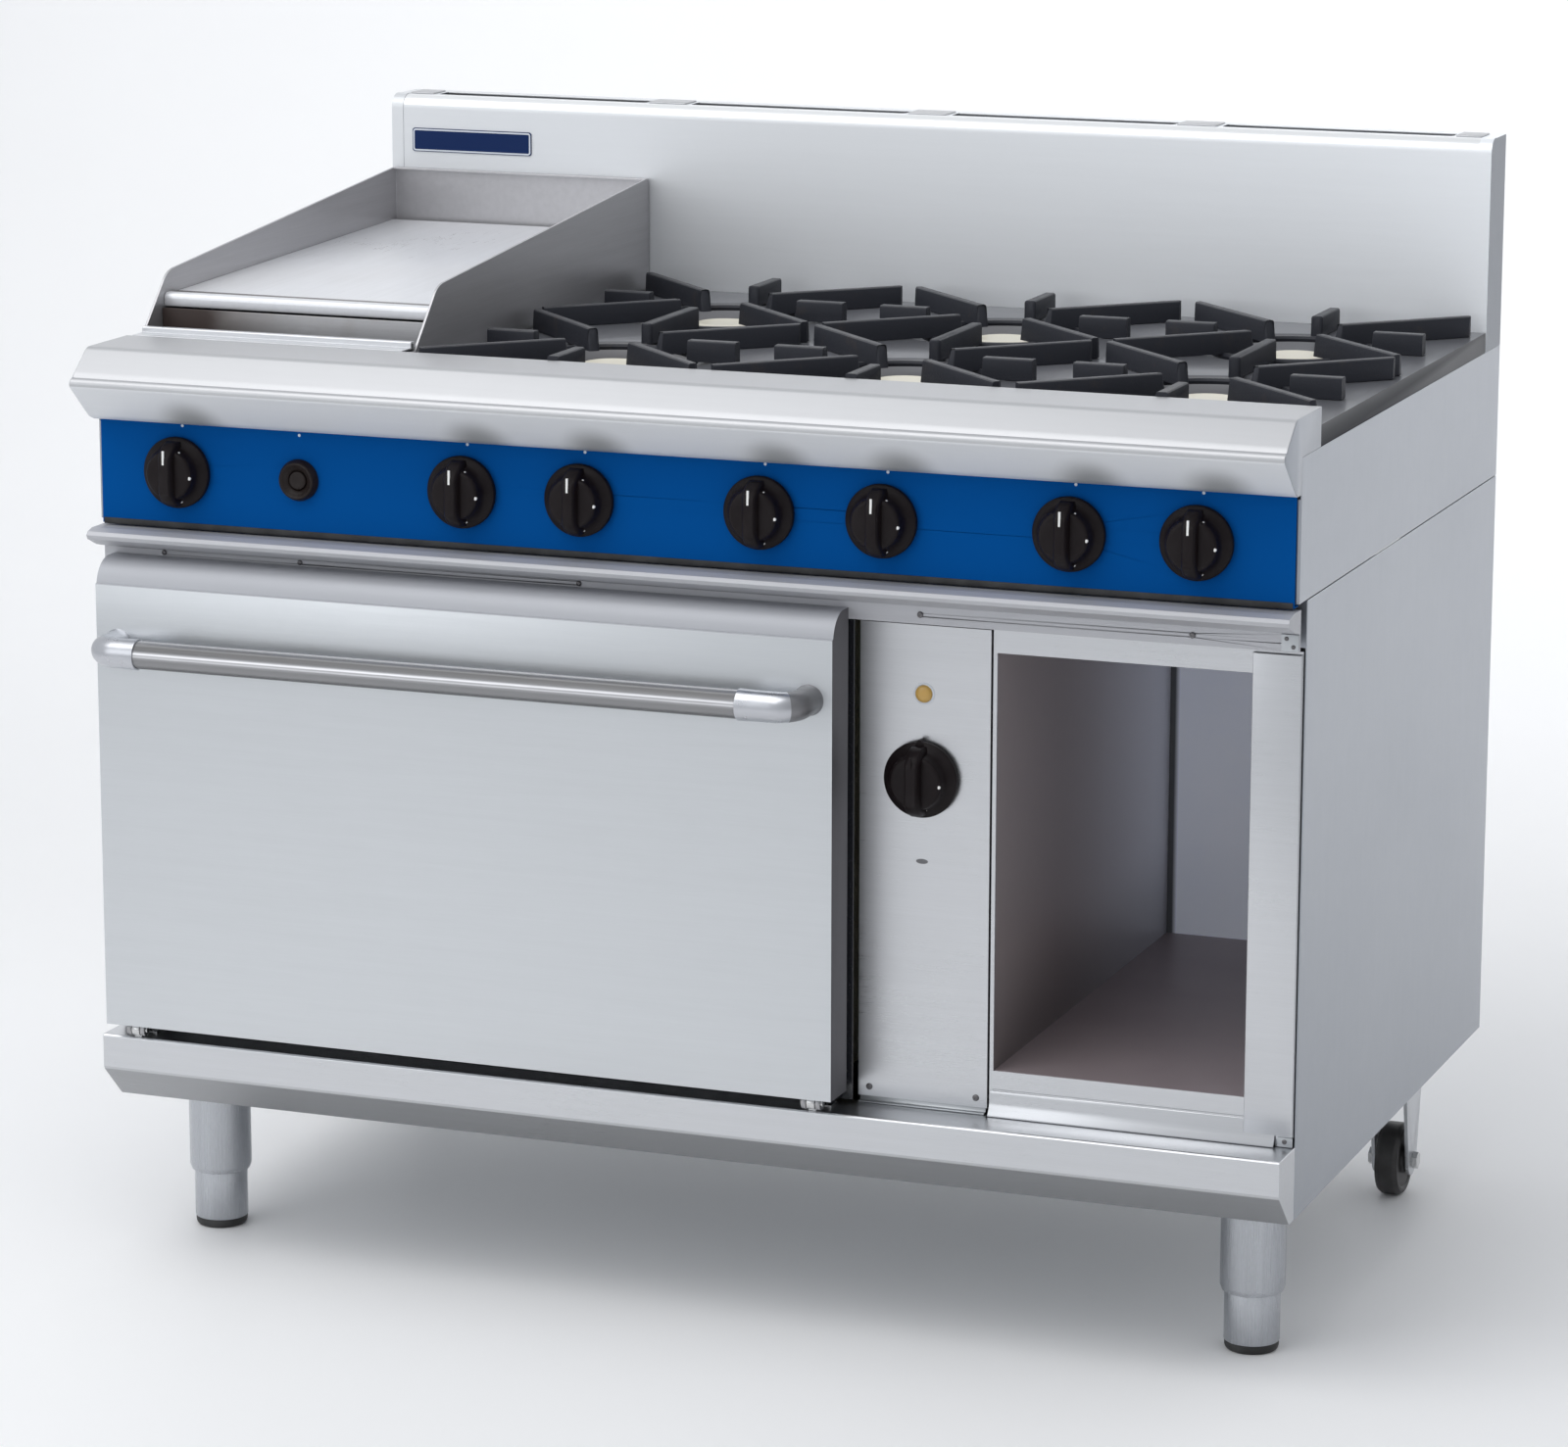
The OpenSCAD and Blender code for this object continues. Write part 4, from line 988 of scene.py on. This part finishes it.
def knob(node, name, gas=True):
    """A knob turned to the front. Gas knobs have a white pointer line, a painted highlight, the
    oven's a nub on its rim.
    """
    low, high = box_mm(node)
    x, _, z = middle(node)
    height, rim = high.y - low.y, (high.x - low.x) / 2
    frame = frame_at(x, high.y, z, "front")
    mesh = bmesh.new()
    # (radius, height) of the skirt and the drum
    lathe(mesh, [(3.2, 0.0), (rim - 1.6, 0.0), (rim - 0.5, 0.3), (rim, 0.9), (rim, 4.4),
                 (rim - 0.25, 5.2), (rim - 0.9, 5.8), (rim - 3.2, 6.9), (rim - 5.2, 8.0),
                 (rim - 7.6, 9.9), (rim - 9.0, 12.2), (rim - 9.8, 15.5), (rim - 10.4, 19.2),
                 (rim - 11.2, 21.0), (rim - 12.8, 22.1), (rim - 15, 22.5), (4.0, 22.6),
                 (0.0, 22.6)], frame, segments=96)
    lathe(mesh, [(3.2, 0.0), (3.2, 12.0), (0.0, 12.0)], frame, segments=96)   # bore
    bmesh.ops.remove_doubles(mesh, verts=mesh.verts, dist=0.000005)
    grip(mesh, frame, half_width=8.8, half_length=rim - 3.4, base=6.5, top=height)
    # three white dots, the third a painted glint on the disc's edge: (x, y, height, radius)
    for dot_x, dot_y, dot_h, radius in ((rim - 12.2, -1.8, 21.2, 1.7), (7.5, -27.2, 9.6, 1.15),
                                        (10.2, 21.6, 17.8, 1.0)):
        lathe(mesh, [(0, 0.9), (radius * 0.75, 0.8), (radius, 0.3), (radius, -1.2), (0, -1.2)],
              frame @ Matrix.Translation((dot_x, dot_y, dot_h)), segments=16, material=1)
    # pointer line on the grip's upper end, white on the gas knobs as a painted highlight
    line = frame @ Matrix.Translation((0, rim - 13.5, height - 0.35))
    upper = ring_of(mesh, line, ((-1.0, -9.5, 0.4), (1.0, -9.5, 0.4), (1.0, 4.0, 0.05),
                                 (-1.0, 4.0, 0.05)))
    lower = ring_of(mesh, line, ((-1.0, -9.5, -1.2), (1.0, -9.5, -1.2), (1.0, 4.0, -1.2),
                                 (-1.0, 4.0, -1.2)))
    tube(mesh, [upper, lower], material=int(gas))
    if not gas:
        nub = [(-4.6, rim - 4.0), (-2.2, rim + 1.2), (-1.0, rim + 2.6), (1.0, rim + 2.6),
               (2.2, rim + 1.2), (4.6, rim - 4.0)]
        tube(mesh, [ring_of(mesh, frame, [(x, y, level) for x, y in nub])
                    for level in (8.2, 0.4)])
    add(name, mesh, [KNOB, WHITE_PRINT_AND_GLINT], body=node, replaces=node, smooth=38)


for node in GAS_KNOBS:
    knob(node, "gas_" + node)
knob("oven_knob", "oven_knob_cap", gas=False)

# ------------------------------------------------------------------ fascia dots and the strip of painted shade in the joint
fascia_low, fascia_high = box_mm("control_fascia")
fascia_y = fascia_low.y
mesh = bmesh.new()
# (node, shift to the right, rise above its middle)
for node, shift, rise in [(k, 4.5, 45) for k in GAS_KNOBS] + [("igniter_body", 0.5, 43)]:
    x, _, z = middle(node)
    lathe(mesh, [(0, 0.25), (1.2, 0.22), (1.5, 0.05), (1.5, -0.2), (0, -0.2)],
          frame_at(x + shift, fascia_y, z + rise, "front"), segments=20)
add("index_dots", mesh, PALE)

# black strip in the joint under the fascia, a dark sheet standing for the gap's shade: (y, z)
# from the fascia's lower front edge
STRIP = [(1.2, -0.9), (0.1, -0.9), (-0.6, -0.3), (-0.8, 0.8), (-0.8, 4.1), (-0.5, 4.9),
         (0.3, 5.2), (1.2, 5.2)]
mesh = bmesh.new()
prism(mesh, [(fascia_y + y, fascia_low.z + z) for y, z in STRIP],
      fascia_low.x + 1.5, fascia_high.x - 1.5)
add("fascia_gap_shade_strip", mesh, RUBBER, smooth=40)

# ------------------------------------------------------------------ burner places
deck_low, deck_high = box_mm("hob_deck")
deck = deck_high.z
caps_low, caps_high = box_mm("burner_caps")
BURNERS = [(x, y) for x in (-150.0, 150.0, 450.0)
           for y in (caps_low.y + CAP_RADIUS, caps_high.y - CAP_RADIUS)]

# ------------------------------------------------------------------ pot supports
# (share of a fin's length, share of its width)
FIN_STATIONS = [(0.0, 0.55), (0.004, 0.78), (0.012, 0.93), (0.03, 1.0), (0.5, 1.0),
                (0.985, 1.0), (1.0, 0.94)]


def fin(frame, half_width, start, end, bottom, top, lean, tip_bottom=None, taper=0.86):
    """One cast fin along local x, its tip at start: tapered section, rounded top, leaning tip."""
    if tip_bottom is None:
        tip_bottom = bottom
    crest = half_width * taper
    # (half width, share of the height)
    flank = [(half_width, 0.0), (half_width * 0.97, 0.35), (crest + 0.7, 0.86),
             (crest + 0.15, 0.955), (crest - 1.2, 1.0)]
    section = flank + [(-y, rise) for y, rise in reversed(flank)]
    mesh = bmesh.new()
    rings = []
    for along, width in FIN_STATIONS:
        floor = bottom if along > 0.25 else tip_bottom + (bottom - tip_bottom) * (along / 0.25)
        points = []
        for y, rise in section:
            x = start + (end - start) * along
            z = floor + (top - floor) * rise
            if along < 0.02:
                x += lean * rise ** 1.2
            if along < 0.01:
                z -= 1.08 * rise * (1 - along / 0.01)
            points.append((x, y * width, z))
        rings.append(ring_of(mesh, frame, points))
    tube(mesh, rings)
    return mesh


def support(node, name):
    """One casting over a front and a rear burner: fins round two rings, joined in the middle."""
    low, high = box_mm(node)
    centre_x, centre_y, _ = middle(node)
    half_y = (high.y - low.y) / 2
    top, bottom = high.z, deck + 0.7
    reach = abs(caps_low.y + CAP_RADIUS - centre_y)   # from the middle to a burner

    def cast(y, turn, half_width, start, end, lean, **shape):
        frame = (Matrix.Translation(place(centre_x, y, 0))
                 @ Matrix.Rotation(radians(turn), 4, "Z") @ MILLIMETRES)
        return fin(frame, half_width, start, end, bottom, top, lean, **shape)

    parts = []
    for side in (-1, 1):
        y = centre_y + side * reach
        for turn in (45, 135, 225, 315):
            parts.append(cast(y, turn, 6.2, 46, 199, lean=5.0, tip_bottom=top - 22, taper=0.72))
        for turn in (0, 180):
            parts.append(cast(y, turn, 7.0, 79, 130, lean=1.0))
        parts.append(cast(y, 90 * side, 6.2, 80, half_y - reach - 0.5, lean=1.0))
    parts.append(cast(centre_y, 90, 6.2, -reach + 85, reach - 85, lean=0.5))
    mesh = bmesh.new()
    for side in (-1, 1):
        lathe(mesh, [(75.4, deck - 4.4), (74.9, deck - 1.4), (76.6, deck + 0.9),
                     (82.4, deck + 0.9), (84.1, deck - 1.4), (83.6, deck - 4.4)],
              frame_at(centre_x, centre_y + side * reach, 0), closed=True)
    mesh = boolean(mesh, parts, "UNION")
    half_x = (high.x - low.x) / 2
    clip = bmesh.new()
    box(clip, centre_x - half_x, centre_x + half_x, centre_y - half_y, centre_y + half_y,
        bottom - 30, top + 30)
    mesh = boolean(mesh, [clip], "INTERSECT")
    clean(mesh, distance=0.02, angle=0.2)
    ob = add(name, mesh, IRON, body=node, replaces=node, smooth=33)
    round_edges(ob, 0.9)


for side in SUPPORTS:
    support("pot_support_" + side, "trivet_" + side)

# ------------------------------------------------------------------ hob deck with six wells
# (radius, height from the deck) from a well's rim down to its middle hole
WELL_PROFILE = [(104, 0.0), (102.6, -0.35), (101.2, -1.3), (99.6, -3.2), (90.0, -9.6),
                (80.0, -15.0), (74.0, -17.4), (70.0, -18.2), (56.0, -18.6), (47.5, -18.6),
                (46.2, -19.2), (46, -20.4), (46, -24)]
WELL_STEPS = 96
curve = bpy.data.curves.new("deck_outline", "CURVE")
curve.dimensions, curve.fill_mode = "2D", "BOTH"
rectangle = [(deck_low.x, deck_low.y), (deck_high.x, deck_low.y),
             (deck_high.x, deck_high.y), (deck_low.x, deck_high.y)]
for points in [rectangle] + [circle(*burner, WELL_PROFILE[0][0], WELL_STEPS)
                             for burner in BURNERS]:
    spline = curve.splines.new("POLY")
    spline.points.add(len(points) - 1)
    for point, (x, y) in zip(spline.points, points):
        point.co = (x / 1000, y / 1000 + FRONT_Y, 0, 1)
    spline.use_cyclic_u = True
flat = bpy.data.objects.new("deck_tmp", curve)
scene.collection.objects.link(flat)
mesh = baked(flat)
bpy.data.objects.remove(flat)
bmesh.ops.remove_doubles(mesh, verts=mesh.verts, dist=0.00001)
for vert in mesh.verts:
    vert.co.z = deck / 1000
for face in mesh.faces:
    if face.normal.z < 0:
        face.normal_flip()
# dished wells, the first bands in deck enamel
for burner in BURNERS:
    rings = [[mesh.verts.new(place(x, y, deck + drop))
              for x, y in circle(*burner, radius, WELL_STEPS)] for radius, drop in WELL_PROFILE]
    for k, (upper, lower) in enumerate(zip(rings, rings[1:])):
        for j in range(WELL_STEPS):
            after = (j + 1) % WELL_STEPS
            face = mesh.faces.new((upper[j], lower[j], lower[after], upper[after]))
            face.material_index = int(k > 1)
bmesh.ops.remove_doubles(mesh, verts=mesh.verts, dist=0.00002)
# folded-down outer edges
rim = [e for e in mesh.edges
       if e.is_boundary and all(abs(v.co.z - deck / 1000) < 1e-5 for v in e.verts)]
for item in bmesh.ops.extrude_edge_only(mesh, edges=rim)["geom"]:
    if isinstance(item, bmesh.types.BMVert):
        item.co.z = deck_low.z / 1000
outward(mesh)
# the sheet is open, so its faces may come out upside down
if sum(f.normal.z * f.calc_area() for f in mesh.faces if f.material_index == 0) < 0:
    bmesh.ops.reverse_faces(mesh, faces=mesh.faces)
# upright faces of the deck take the darker copy: painted shade
for face in mesh.faces:
    if abs(face.normal.z) < 0.3 and face.material_index == 0:
        face.material_index = 2
ob = add("hob_top", mesh, [HOB, WELL, HOB_EDGE_SHADE], replaces="hob_deck",
         recalc=False)
sheet = ob.modifiers.new("sheet", "SOLIDIFY")
sheet.thickness, sheet.offset = SHEET / 1000, -1

# ------------------------------------------------------------------ burner caps and crowns
# (radius, height above the cap's underside)
CAP_PROFILE = [(0, 0), (27.5, 0), (28.6, 0.4), (29.0, 1.2), (30.4, 1.6), (CAP_RADIUS, 2.4),
               (CAP_RADIUS, 5.6), (30.7, 6.6), (30.0, 7.4), (28.4, 8.1), (25.0, 8.55),
               (22.6, 8.6), (21.8, 8.2), (20.8, 8.1), (0, 8.9)]
mesh = bmesh.new()
for burner in BURNERS:
    lathe(mesh, CAP_PROFILE, frame_at(*burner, caps_low.z))
add("burner_lids", mesh, CREAM, replaces="burner_caps", smooth=40)

# slotted crowns under the caps
CROWN_STEPS, TOOTH_DEPTH = 120, 1.5
mesh = bmesh.new()
for burner in BURNERS:
    rings = []
    # (height from the cap, inner radius, outer radius)
    for height, inner_radius, outer_radius in ((-8.5, 33.2, 36.6), (-0.3, 32.0, 34.6)):
        inner_ring, outer_ring = [], []
        for ring, radius, depth in ((inner_ring, inner_radius, 0),
                                    (outer_ring, outer_radius, TOOTH_DEPTH)):
            for k in range(CROWN_STEPS):
                reach = radius - (depth if k % 4 < 2 else 0)
                angle = 2 * pi * k / CROWN_STEPS
                ring.append(mesh.verts.new(place(burner[0] + reach * cos(angle),
                                                 burner[1] + reach * sin(angle),
                                                 caps_low.z + height)))
        rings += [inner_ring, outer_ring]
    inner_low, outer_low, inner_top, outer_top = rings
    bridge(mesh, outer_low, outer_top)
    bridge(mesh, inner_top, inner_low)
    bridge(mesh, outer_top, inner_top)
    bridge(mesh, inner_low, outer_low)
add("burner_crowns", mesh, ALLOY, smooth=25)

# ------------------------------------------------------------------ griddle plate
low, high = box_mm("griddle_plate")
front, level = low.y, high.z - 2
# (y, z): a rounded front lip, a groove, then the plate rising to the back
outline = (
    [(front + 3.2, level - 23), (front + 0.9, level - 22), (front, level - 19.6),
     (front, level - 14.5)]
    + arc(front + 5.5, level - 14.5, 5.5, 180, 90, 7)
    + arc(front + 9.5, level - 14.5, 5.5, 90, 40, 5)
    + [(front + 15.2, level - 11.4), (front + 17, level - 11.2), (front + 30, level - 10.6),
       (high.y, high.z), (high.y, high.z - 14)])
mesh = bmesh.new()
prism(mesh, outline, low.x, high.x)
# the groove behind the front lip takes the dark copy: painted shade, with smudges
paint(mesh, lambda normal, centre: (
    abs(normal.x) < 0.5 and normal.z > 0.2
    and scene_y(front + 12.5) < centre.y < scene_y(front + 27)))
add("griddle_surface", mesh, [PLATE, PLATE_GROOVE_SHADE], replaces="griddle_plate")

# ------------------------------------------------------------------ trims of the lower front
low, high = box_mm("cabinet_frame")
cupboard_y, cupboard_z = low.y, low.z
rail_top = box_mm("base_front_rail")[1].z

# strip under the cupboard's opening, rolling forward at its foot: (y, z) from the frame
TRIM = [(-0.2, 15.2), (-1.4, 14.6), (-2.0, 12), (-2.6, 4), (-4.2, -2), (-8.0, -7.2),
        (-8.0, -8.6), (-2, -8.6), (-0.2, -6)]
mesh = bmesh.new()
prism(mesh, [(cupboard_y + y, cupboard_z + z) for y, z in TRIM], low.x + 1, 581.5)
box(mesh, 582, 597.4, cupboard_y - 2.2, cupboard_y - 0.2, cupboard_z - 8.6, cupboard_z + 15)
round_mesh(mesh, 0.4, angle=50)
add("cupboard_trim", mesh, STEEL, smooth=40)

mesh = bmesh.new()
box(mesh, 551.5, 597.8, cupboard_y - 3.2, cupboard_y - 0.05, cupboard_z + 1, high.z - 3)
round_mesh(mesh, 0.9, segments=3, angle=40)
add("cupboard_stile", mesh, STEEL, smooth=40)

# sill under the oven control panel, made only where the panel stops short of the base rail
low, high = box_mm("oven_control_panel")
if low.z - rail_top > 2:
    y = low.y + 1.2
    mesh = bmesh.new()
    prism(mesh, [(y + 1.2, low.z + 4), (y, low.z + 4), (y, rail_top + 3.6),
                 (y - 1.2, rail_top + 2.0), (y - 5.5, rail_top + 1.4), (y - 5.5, rail_top + 0.3),
                 (y + 1.2, rail_top + 0.3)], low.x + 1.5, high.x - 1.5)
    round_mesh(mesh, 0.3, angle=50)
    add("panel_sill", mesh, ZINC, smooth=40)

# small plates at the header rail's right end and under the stile
HEADER_PLATE_Y = 27.6
mesh = bmesh.new()
box(mesh, 583, 599.4, HEADER_PLATE_Y, 28.9, 693, 708.4)
box(mesh, 584, 598.5, cupboard_y - 3.6, cupboard_y - 2.3, rail_top + 0.6, cupboard_z + 0.4)
round_mesh(mesh, 0.4, angle=40)
add("corner_brackets", mesh, ZINC, smooth=40)

# ------------------------------------------------------------------ screws
HEADER_Y, PANEL_Y = 29, 50.0                          # front faces
# (x, y, z, radius, height)
SCREWS = [(-535, HEADER_Y, 706.2, 2.6, 1.8), (-390, HEADER_Y, 706.2, 2.6, 1.8),
          (-100, HEADER_Y, 706.2, 2.6, 1.8), (240, HEADER_Y, 701, 3.0, 1.8),
          (500, HEADER_Y, 701, 3.0, 1.8), (588, HEADER_PLATE_Y, 704.5, 2.0, 1.2),
          (594.5, HEADER_PLATE_Y, 697, 2.0, 1.2), (185, PANEL_Y, 240, 3.2, 1.6),
          (291, PANEL_Y, 240, 3.2, 1.6), (591, cupboard_y - 3.6, rail_top + 5.6, 2.3, 1.2)]
# pan head with a round recess: (share of radius, share of height)
SCREW_HEAD = [(0, 0.62), (0.30, 0.66), (0.34, 1), (0.62, 0.97), (0.88, 0.72), (1, 0.28),
              (1, 0), (0, 0)]
mesh = bmesh.new()
for x, y, z, radius, height in SCREWS:
    lathe(mesh, [(radius * r, height * h) for r, h in SCREW_HEAD], frame_at(x, y, z, "front"),
          segments=24)
add("front_screws", mesh, SCREW, replaces="panel_screws", smooth=40)

# ------------------------------------------------------------------ oven control panel
x, _, z = middle("indicator_lamp")
lamp = frame_at(x, PANEL_Y, z, "front")
mesh = bmesh.new()
lathe(mesh, [(0, 5.4), (4.0, 5.2), (6.4, 4.4), (7.7, 3.0), (8.2, 1.4), (8.4, 0.0), (0, 0.0)],
      lamp, segments=48)
add("lamp_lens", mesh, AMBER, replaces="indicator_lamp", smooth=50)
mesh = bmesh.new()
lathe(mesh, [(8.3, 0.0), (10.2, 0.0), (10.2, 0.5), (9.6, 1.0), (8.8, 1.1), (8.3, 0.8)],
      lamp, segments=48, closed=True)
add("lamp_bezel", mesh, PALE, smooth=40)
# flat oval mark in line with the knob
MARK_STRETCH = Matrix.Diagonal((1.35, 0.55, 1, 1))
mesh = bmesh.new()
lathe(mesh, [(0, 0.25), (3.6, 0.2), (4.4, 0.0), (4.4, -0.2), (0, -0.2)],
      frame_at(middle("oven_knob")[0], PANEL_Y, 462.8, "front") @ MARK_STRETCH, segments=32)
add("panel_mark", mesh, MARK)

# ------------------------------------------------------------------ igniter
x, _, z = middle("igniter_body")
mesh = bmesh.new()
lathe(mesh, [(9.3, -10.0), (9.3, 3.2), (10.2, 4.6), (12.2, 6.2), (14.2, 7.6), (15.4, 9.0),
             (16.4, 9.4), (17.4, 9.0), (18.2, 7.6), (19.2, 4.4), (20.0, 3.2), (20.0, 0.05),
             (13.2, 0.05), (13.0, -10.0)], frame_at(x, fascia_y, z, "front"), closed=True)
add("igniter_bezel", mesh, IGNITER, replaces="igniter_body", smooth=40)
mesh = bmesh.new()
lathe(mesh, [(0, -26), (8.9, -26), (8.9, -1.2), (8.5, -0.4), (7.6, 0.0), (5.5, -0.2),
             (3.0, -0.8), (0, -1.1)],
      frame_at(x, box_mm("igniter_button")[0].y, z, "front"), segments=48)
add("igniter_cap", mesh, IGNITER, body="igniter_button",
    replaces="igniter_button", smooth=40)

# ------------------------------------------------------------------ front legs
sleeves = bmesh.new()
sleeve_z = box_mm("front_leg_sleeves")[0].z
for node in ("foot_left", "foot_right"):
    side = node[5:]
    low, high = box_mm(node)
    x, y, _ = middle(node)
    frame = frame_at(x, y, 0)
    radius = (high.x - low.x) / 2
    mesh = bmesh.new()
    lathe(mesh, [(0, 8.6), (radius - 1.4, 8.6), (radius - 0.4, 9.2), (radius, 10.2),
                 (radius, 70), (radius - 0.4, 71), (radius - 0.4, 72.5), (radius, 73.5),
                 (radius, 139), (radius - 1, 140), (0, 140)], frame)
    add("foot_tube_" + side, mesh, LEG, body=node, replaces=node, smooth=35)
    mesh = bmesh.new()
    lathe(mesh, [(0, 0), (radius - 4.5, 0), (radius - 2.8, 0.5), (radius - 1.6, 1.8),
                 (radius - 0.8, 4.2), (radius - 0.6, 7.2), (radius - 1.0, 8.7), (0, 8.7)], frame)
    add("foot_sole_" + side, mesh, SOLE, body=node, smooth=35)
    bore = radius + 0.1
    lathe(sleeves, [(bore, sleeve_z), (bore + 1.9, sleeve_z), (bore + 2.7, sleeve_z + 0.5),
                    (bore + 3.9, sleeve_z + 4.0), (bore + 4.4, sleeve_z + 5.6),
                    (bore + 4.4, 148.5), (bore + 4.8, 149.6), (bore + 7, 150.3), (39.2, 150.6),
                    (40, 151.4), (40, 154.8), (bore, 154.8)], frame, closed=True)
add("leg_sleeves", sleeves, LEG, replaces="front_leg_sleeves", smooth=35)


# ------------------------------------------------------------------ stage (metres)
def floor_material():
    """Pale floor, clear from behind so that the sweep never hides the range's back."""
    mat = Material("studio_floor")
    cloud = mat.noise(scale=3.0, detail=3.0)
    mat.set(color=mat.mix(cloud, (0.93, 0.93, 0.935), (0.95, 0.95, 0.955)), rough=0.55,
            spec=0.25)
    mat.bump(mat.noise(scale=60, detail=3.0), strength=0.03, distance=0.0005)
    both = mat.node("ShaderNodeMixShader")
    mat.put(both.inputs[0], mat.node("ShaderNodeNewGeometry").outputs["Backfacing"])
    mat.put(both.inputs[1], mat.bsdf.outputs[0])
    mat.put(both.inputs[2], mat.node("ShaderNodeBsdfTransparent").outputs[0])
    mat.put(mat.out.inputs["Surface"], both.outputs[0])
    return mat.data


HALF_WIDTH, SWEEP_RADIUS, SWEEP_Y = 9.0, 1.8, 3.2
outline = [(-9.0, 0.0)]
for degrees in range(0, 91, 6):
    outline.append((SWEEP_Y + SWEEP_RADIUS * sin(radians(degrees)),
                    SWEEP_RADIUS - SWEEP_RADIUS * cos(radians(degrees))))
outline.append((SWEEP_Y + SWEEP_RADIUS, 7.0))
mesh = bmesh.new()
left, right = [[mesh.verts.new((x, y, z)) for y, z in outline] for x in (-HALF_WIDTH, HALF_WIDTH)]
for k in range(len(outline) - 1):
    mesh.faces.new((left[k], right[k], right[k + 1], left[k + 1]))
data = bpy.data.meshes.new("studio_sweep")
mesh.to_mesh(data)
mesh.free()
sweep = bpy.data.objects.new("studio_sweep", data)
scene.collection.objects.link(sweep)
for polygon in data.polygons:
    polygon.use_smooth = True
data.materials.append(floor_material())


# ------------------------------------------------------------------ lights and world
def area(name, location, target, size, watts, color=(1, 1, 1)):
    light = bpy.data.lights.new(name, "AREA")
    light.shape, light.energy, light.color = "RECTANGLE", watts, color
    light.size, light.size_y = size
    ob = bpy.data.objects.new(name, light)
    scene.collection.objects.link(ob)
    ob.location = location
    aim = Vector(target) - Vector(location)
    ob.rotation_euler = aim.to_track_quat("-Z", "Y").to_euler()


area("key_top", location=(-0.8, -1.4, 3.3), target=(0, 0, 0.6), size=(3.4, 2.4), watts=46,
     color=(1.0, 0.995, 0.985))
area("fill_front", location=(-2.4, -3.8, 2.0), target=(0, 0, 0.6), size=(2.2, 2.2), watts=16,
     color=(0.97, 0.985, 1.0))
area("back_wash", location=(0, 2.6, 3.6), target=(0, 4.8, 2.6), size=(7.0, 1.5), watts=70)

# a soft, even room that dims towards the right
ROOM_LEVEL, RIGHT_DIM = 0.78, -0.36
world = bpy.data.worlds.new("studio")
scene.world = world
world.use_nodes = True
room = NodeTree(world.node_tree)
background = world.node_tree.nodes["Background"]
direction = room.split(room.node("ShaderNodeTexCoord").outputs["Generated"])
dimming = room.mul(room.math("MAXIMUM", direction[0], 0.0), RIGHT_DIM)
room.put(background.inputs[1], room.add(ROOM_LEVEL, dimming))
room.put(background.inputs[0], (0.94, 0.965, 1.0))

# ------------------------------------------------------------------ camera
CAMERA_PLACE = (1871.6606880067695, -4591.4480968840435, 1672.3323275834944)
YAW, PITCH, ROLL = 0.3649543254167679, 0.21579366484714474, 0.0017613697174967725   # radians
lens_data = bpy.data.cameras.new("camera")
camera = bpy.data.objects.new("camera", lens_data)
scene.collection.objects.link(camera)
scene.camera = camera
ahead = Vector((-sin(YAW) * cos(PITCH), cos(YAW) * cos(PITCH), -sin(PITCH)))
level_right = Vector((cos(YAW), sin(YAW), 0))
level_up = level_right.cross(ahead)
rolled_right = level_right * cos(ROLL) + level_up * sin(ROLL)
rolled_up = level_up * cos(ROLL) - level_right * sin(ROLL)
pose = Matrix((rolled_right, rolled_up, -ahead)).transposed().to_4x4()
pose.translation = place(*CAMERA_PLACE)
camera.matrix_world = pose
lens_data.sensor_width = 36.0
lens_data.lens = 124.98934520846107
lens_data.clip_start, lens_data.clip_end = 0.1, 60

scene.view_settings.view_transform = "Standard"
scene.view_settings.look = "None"
scene.view_settings.exposure = 0.0
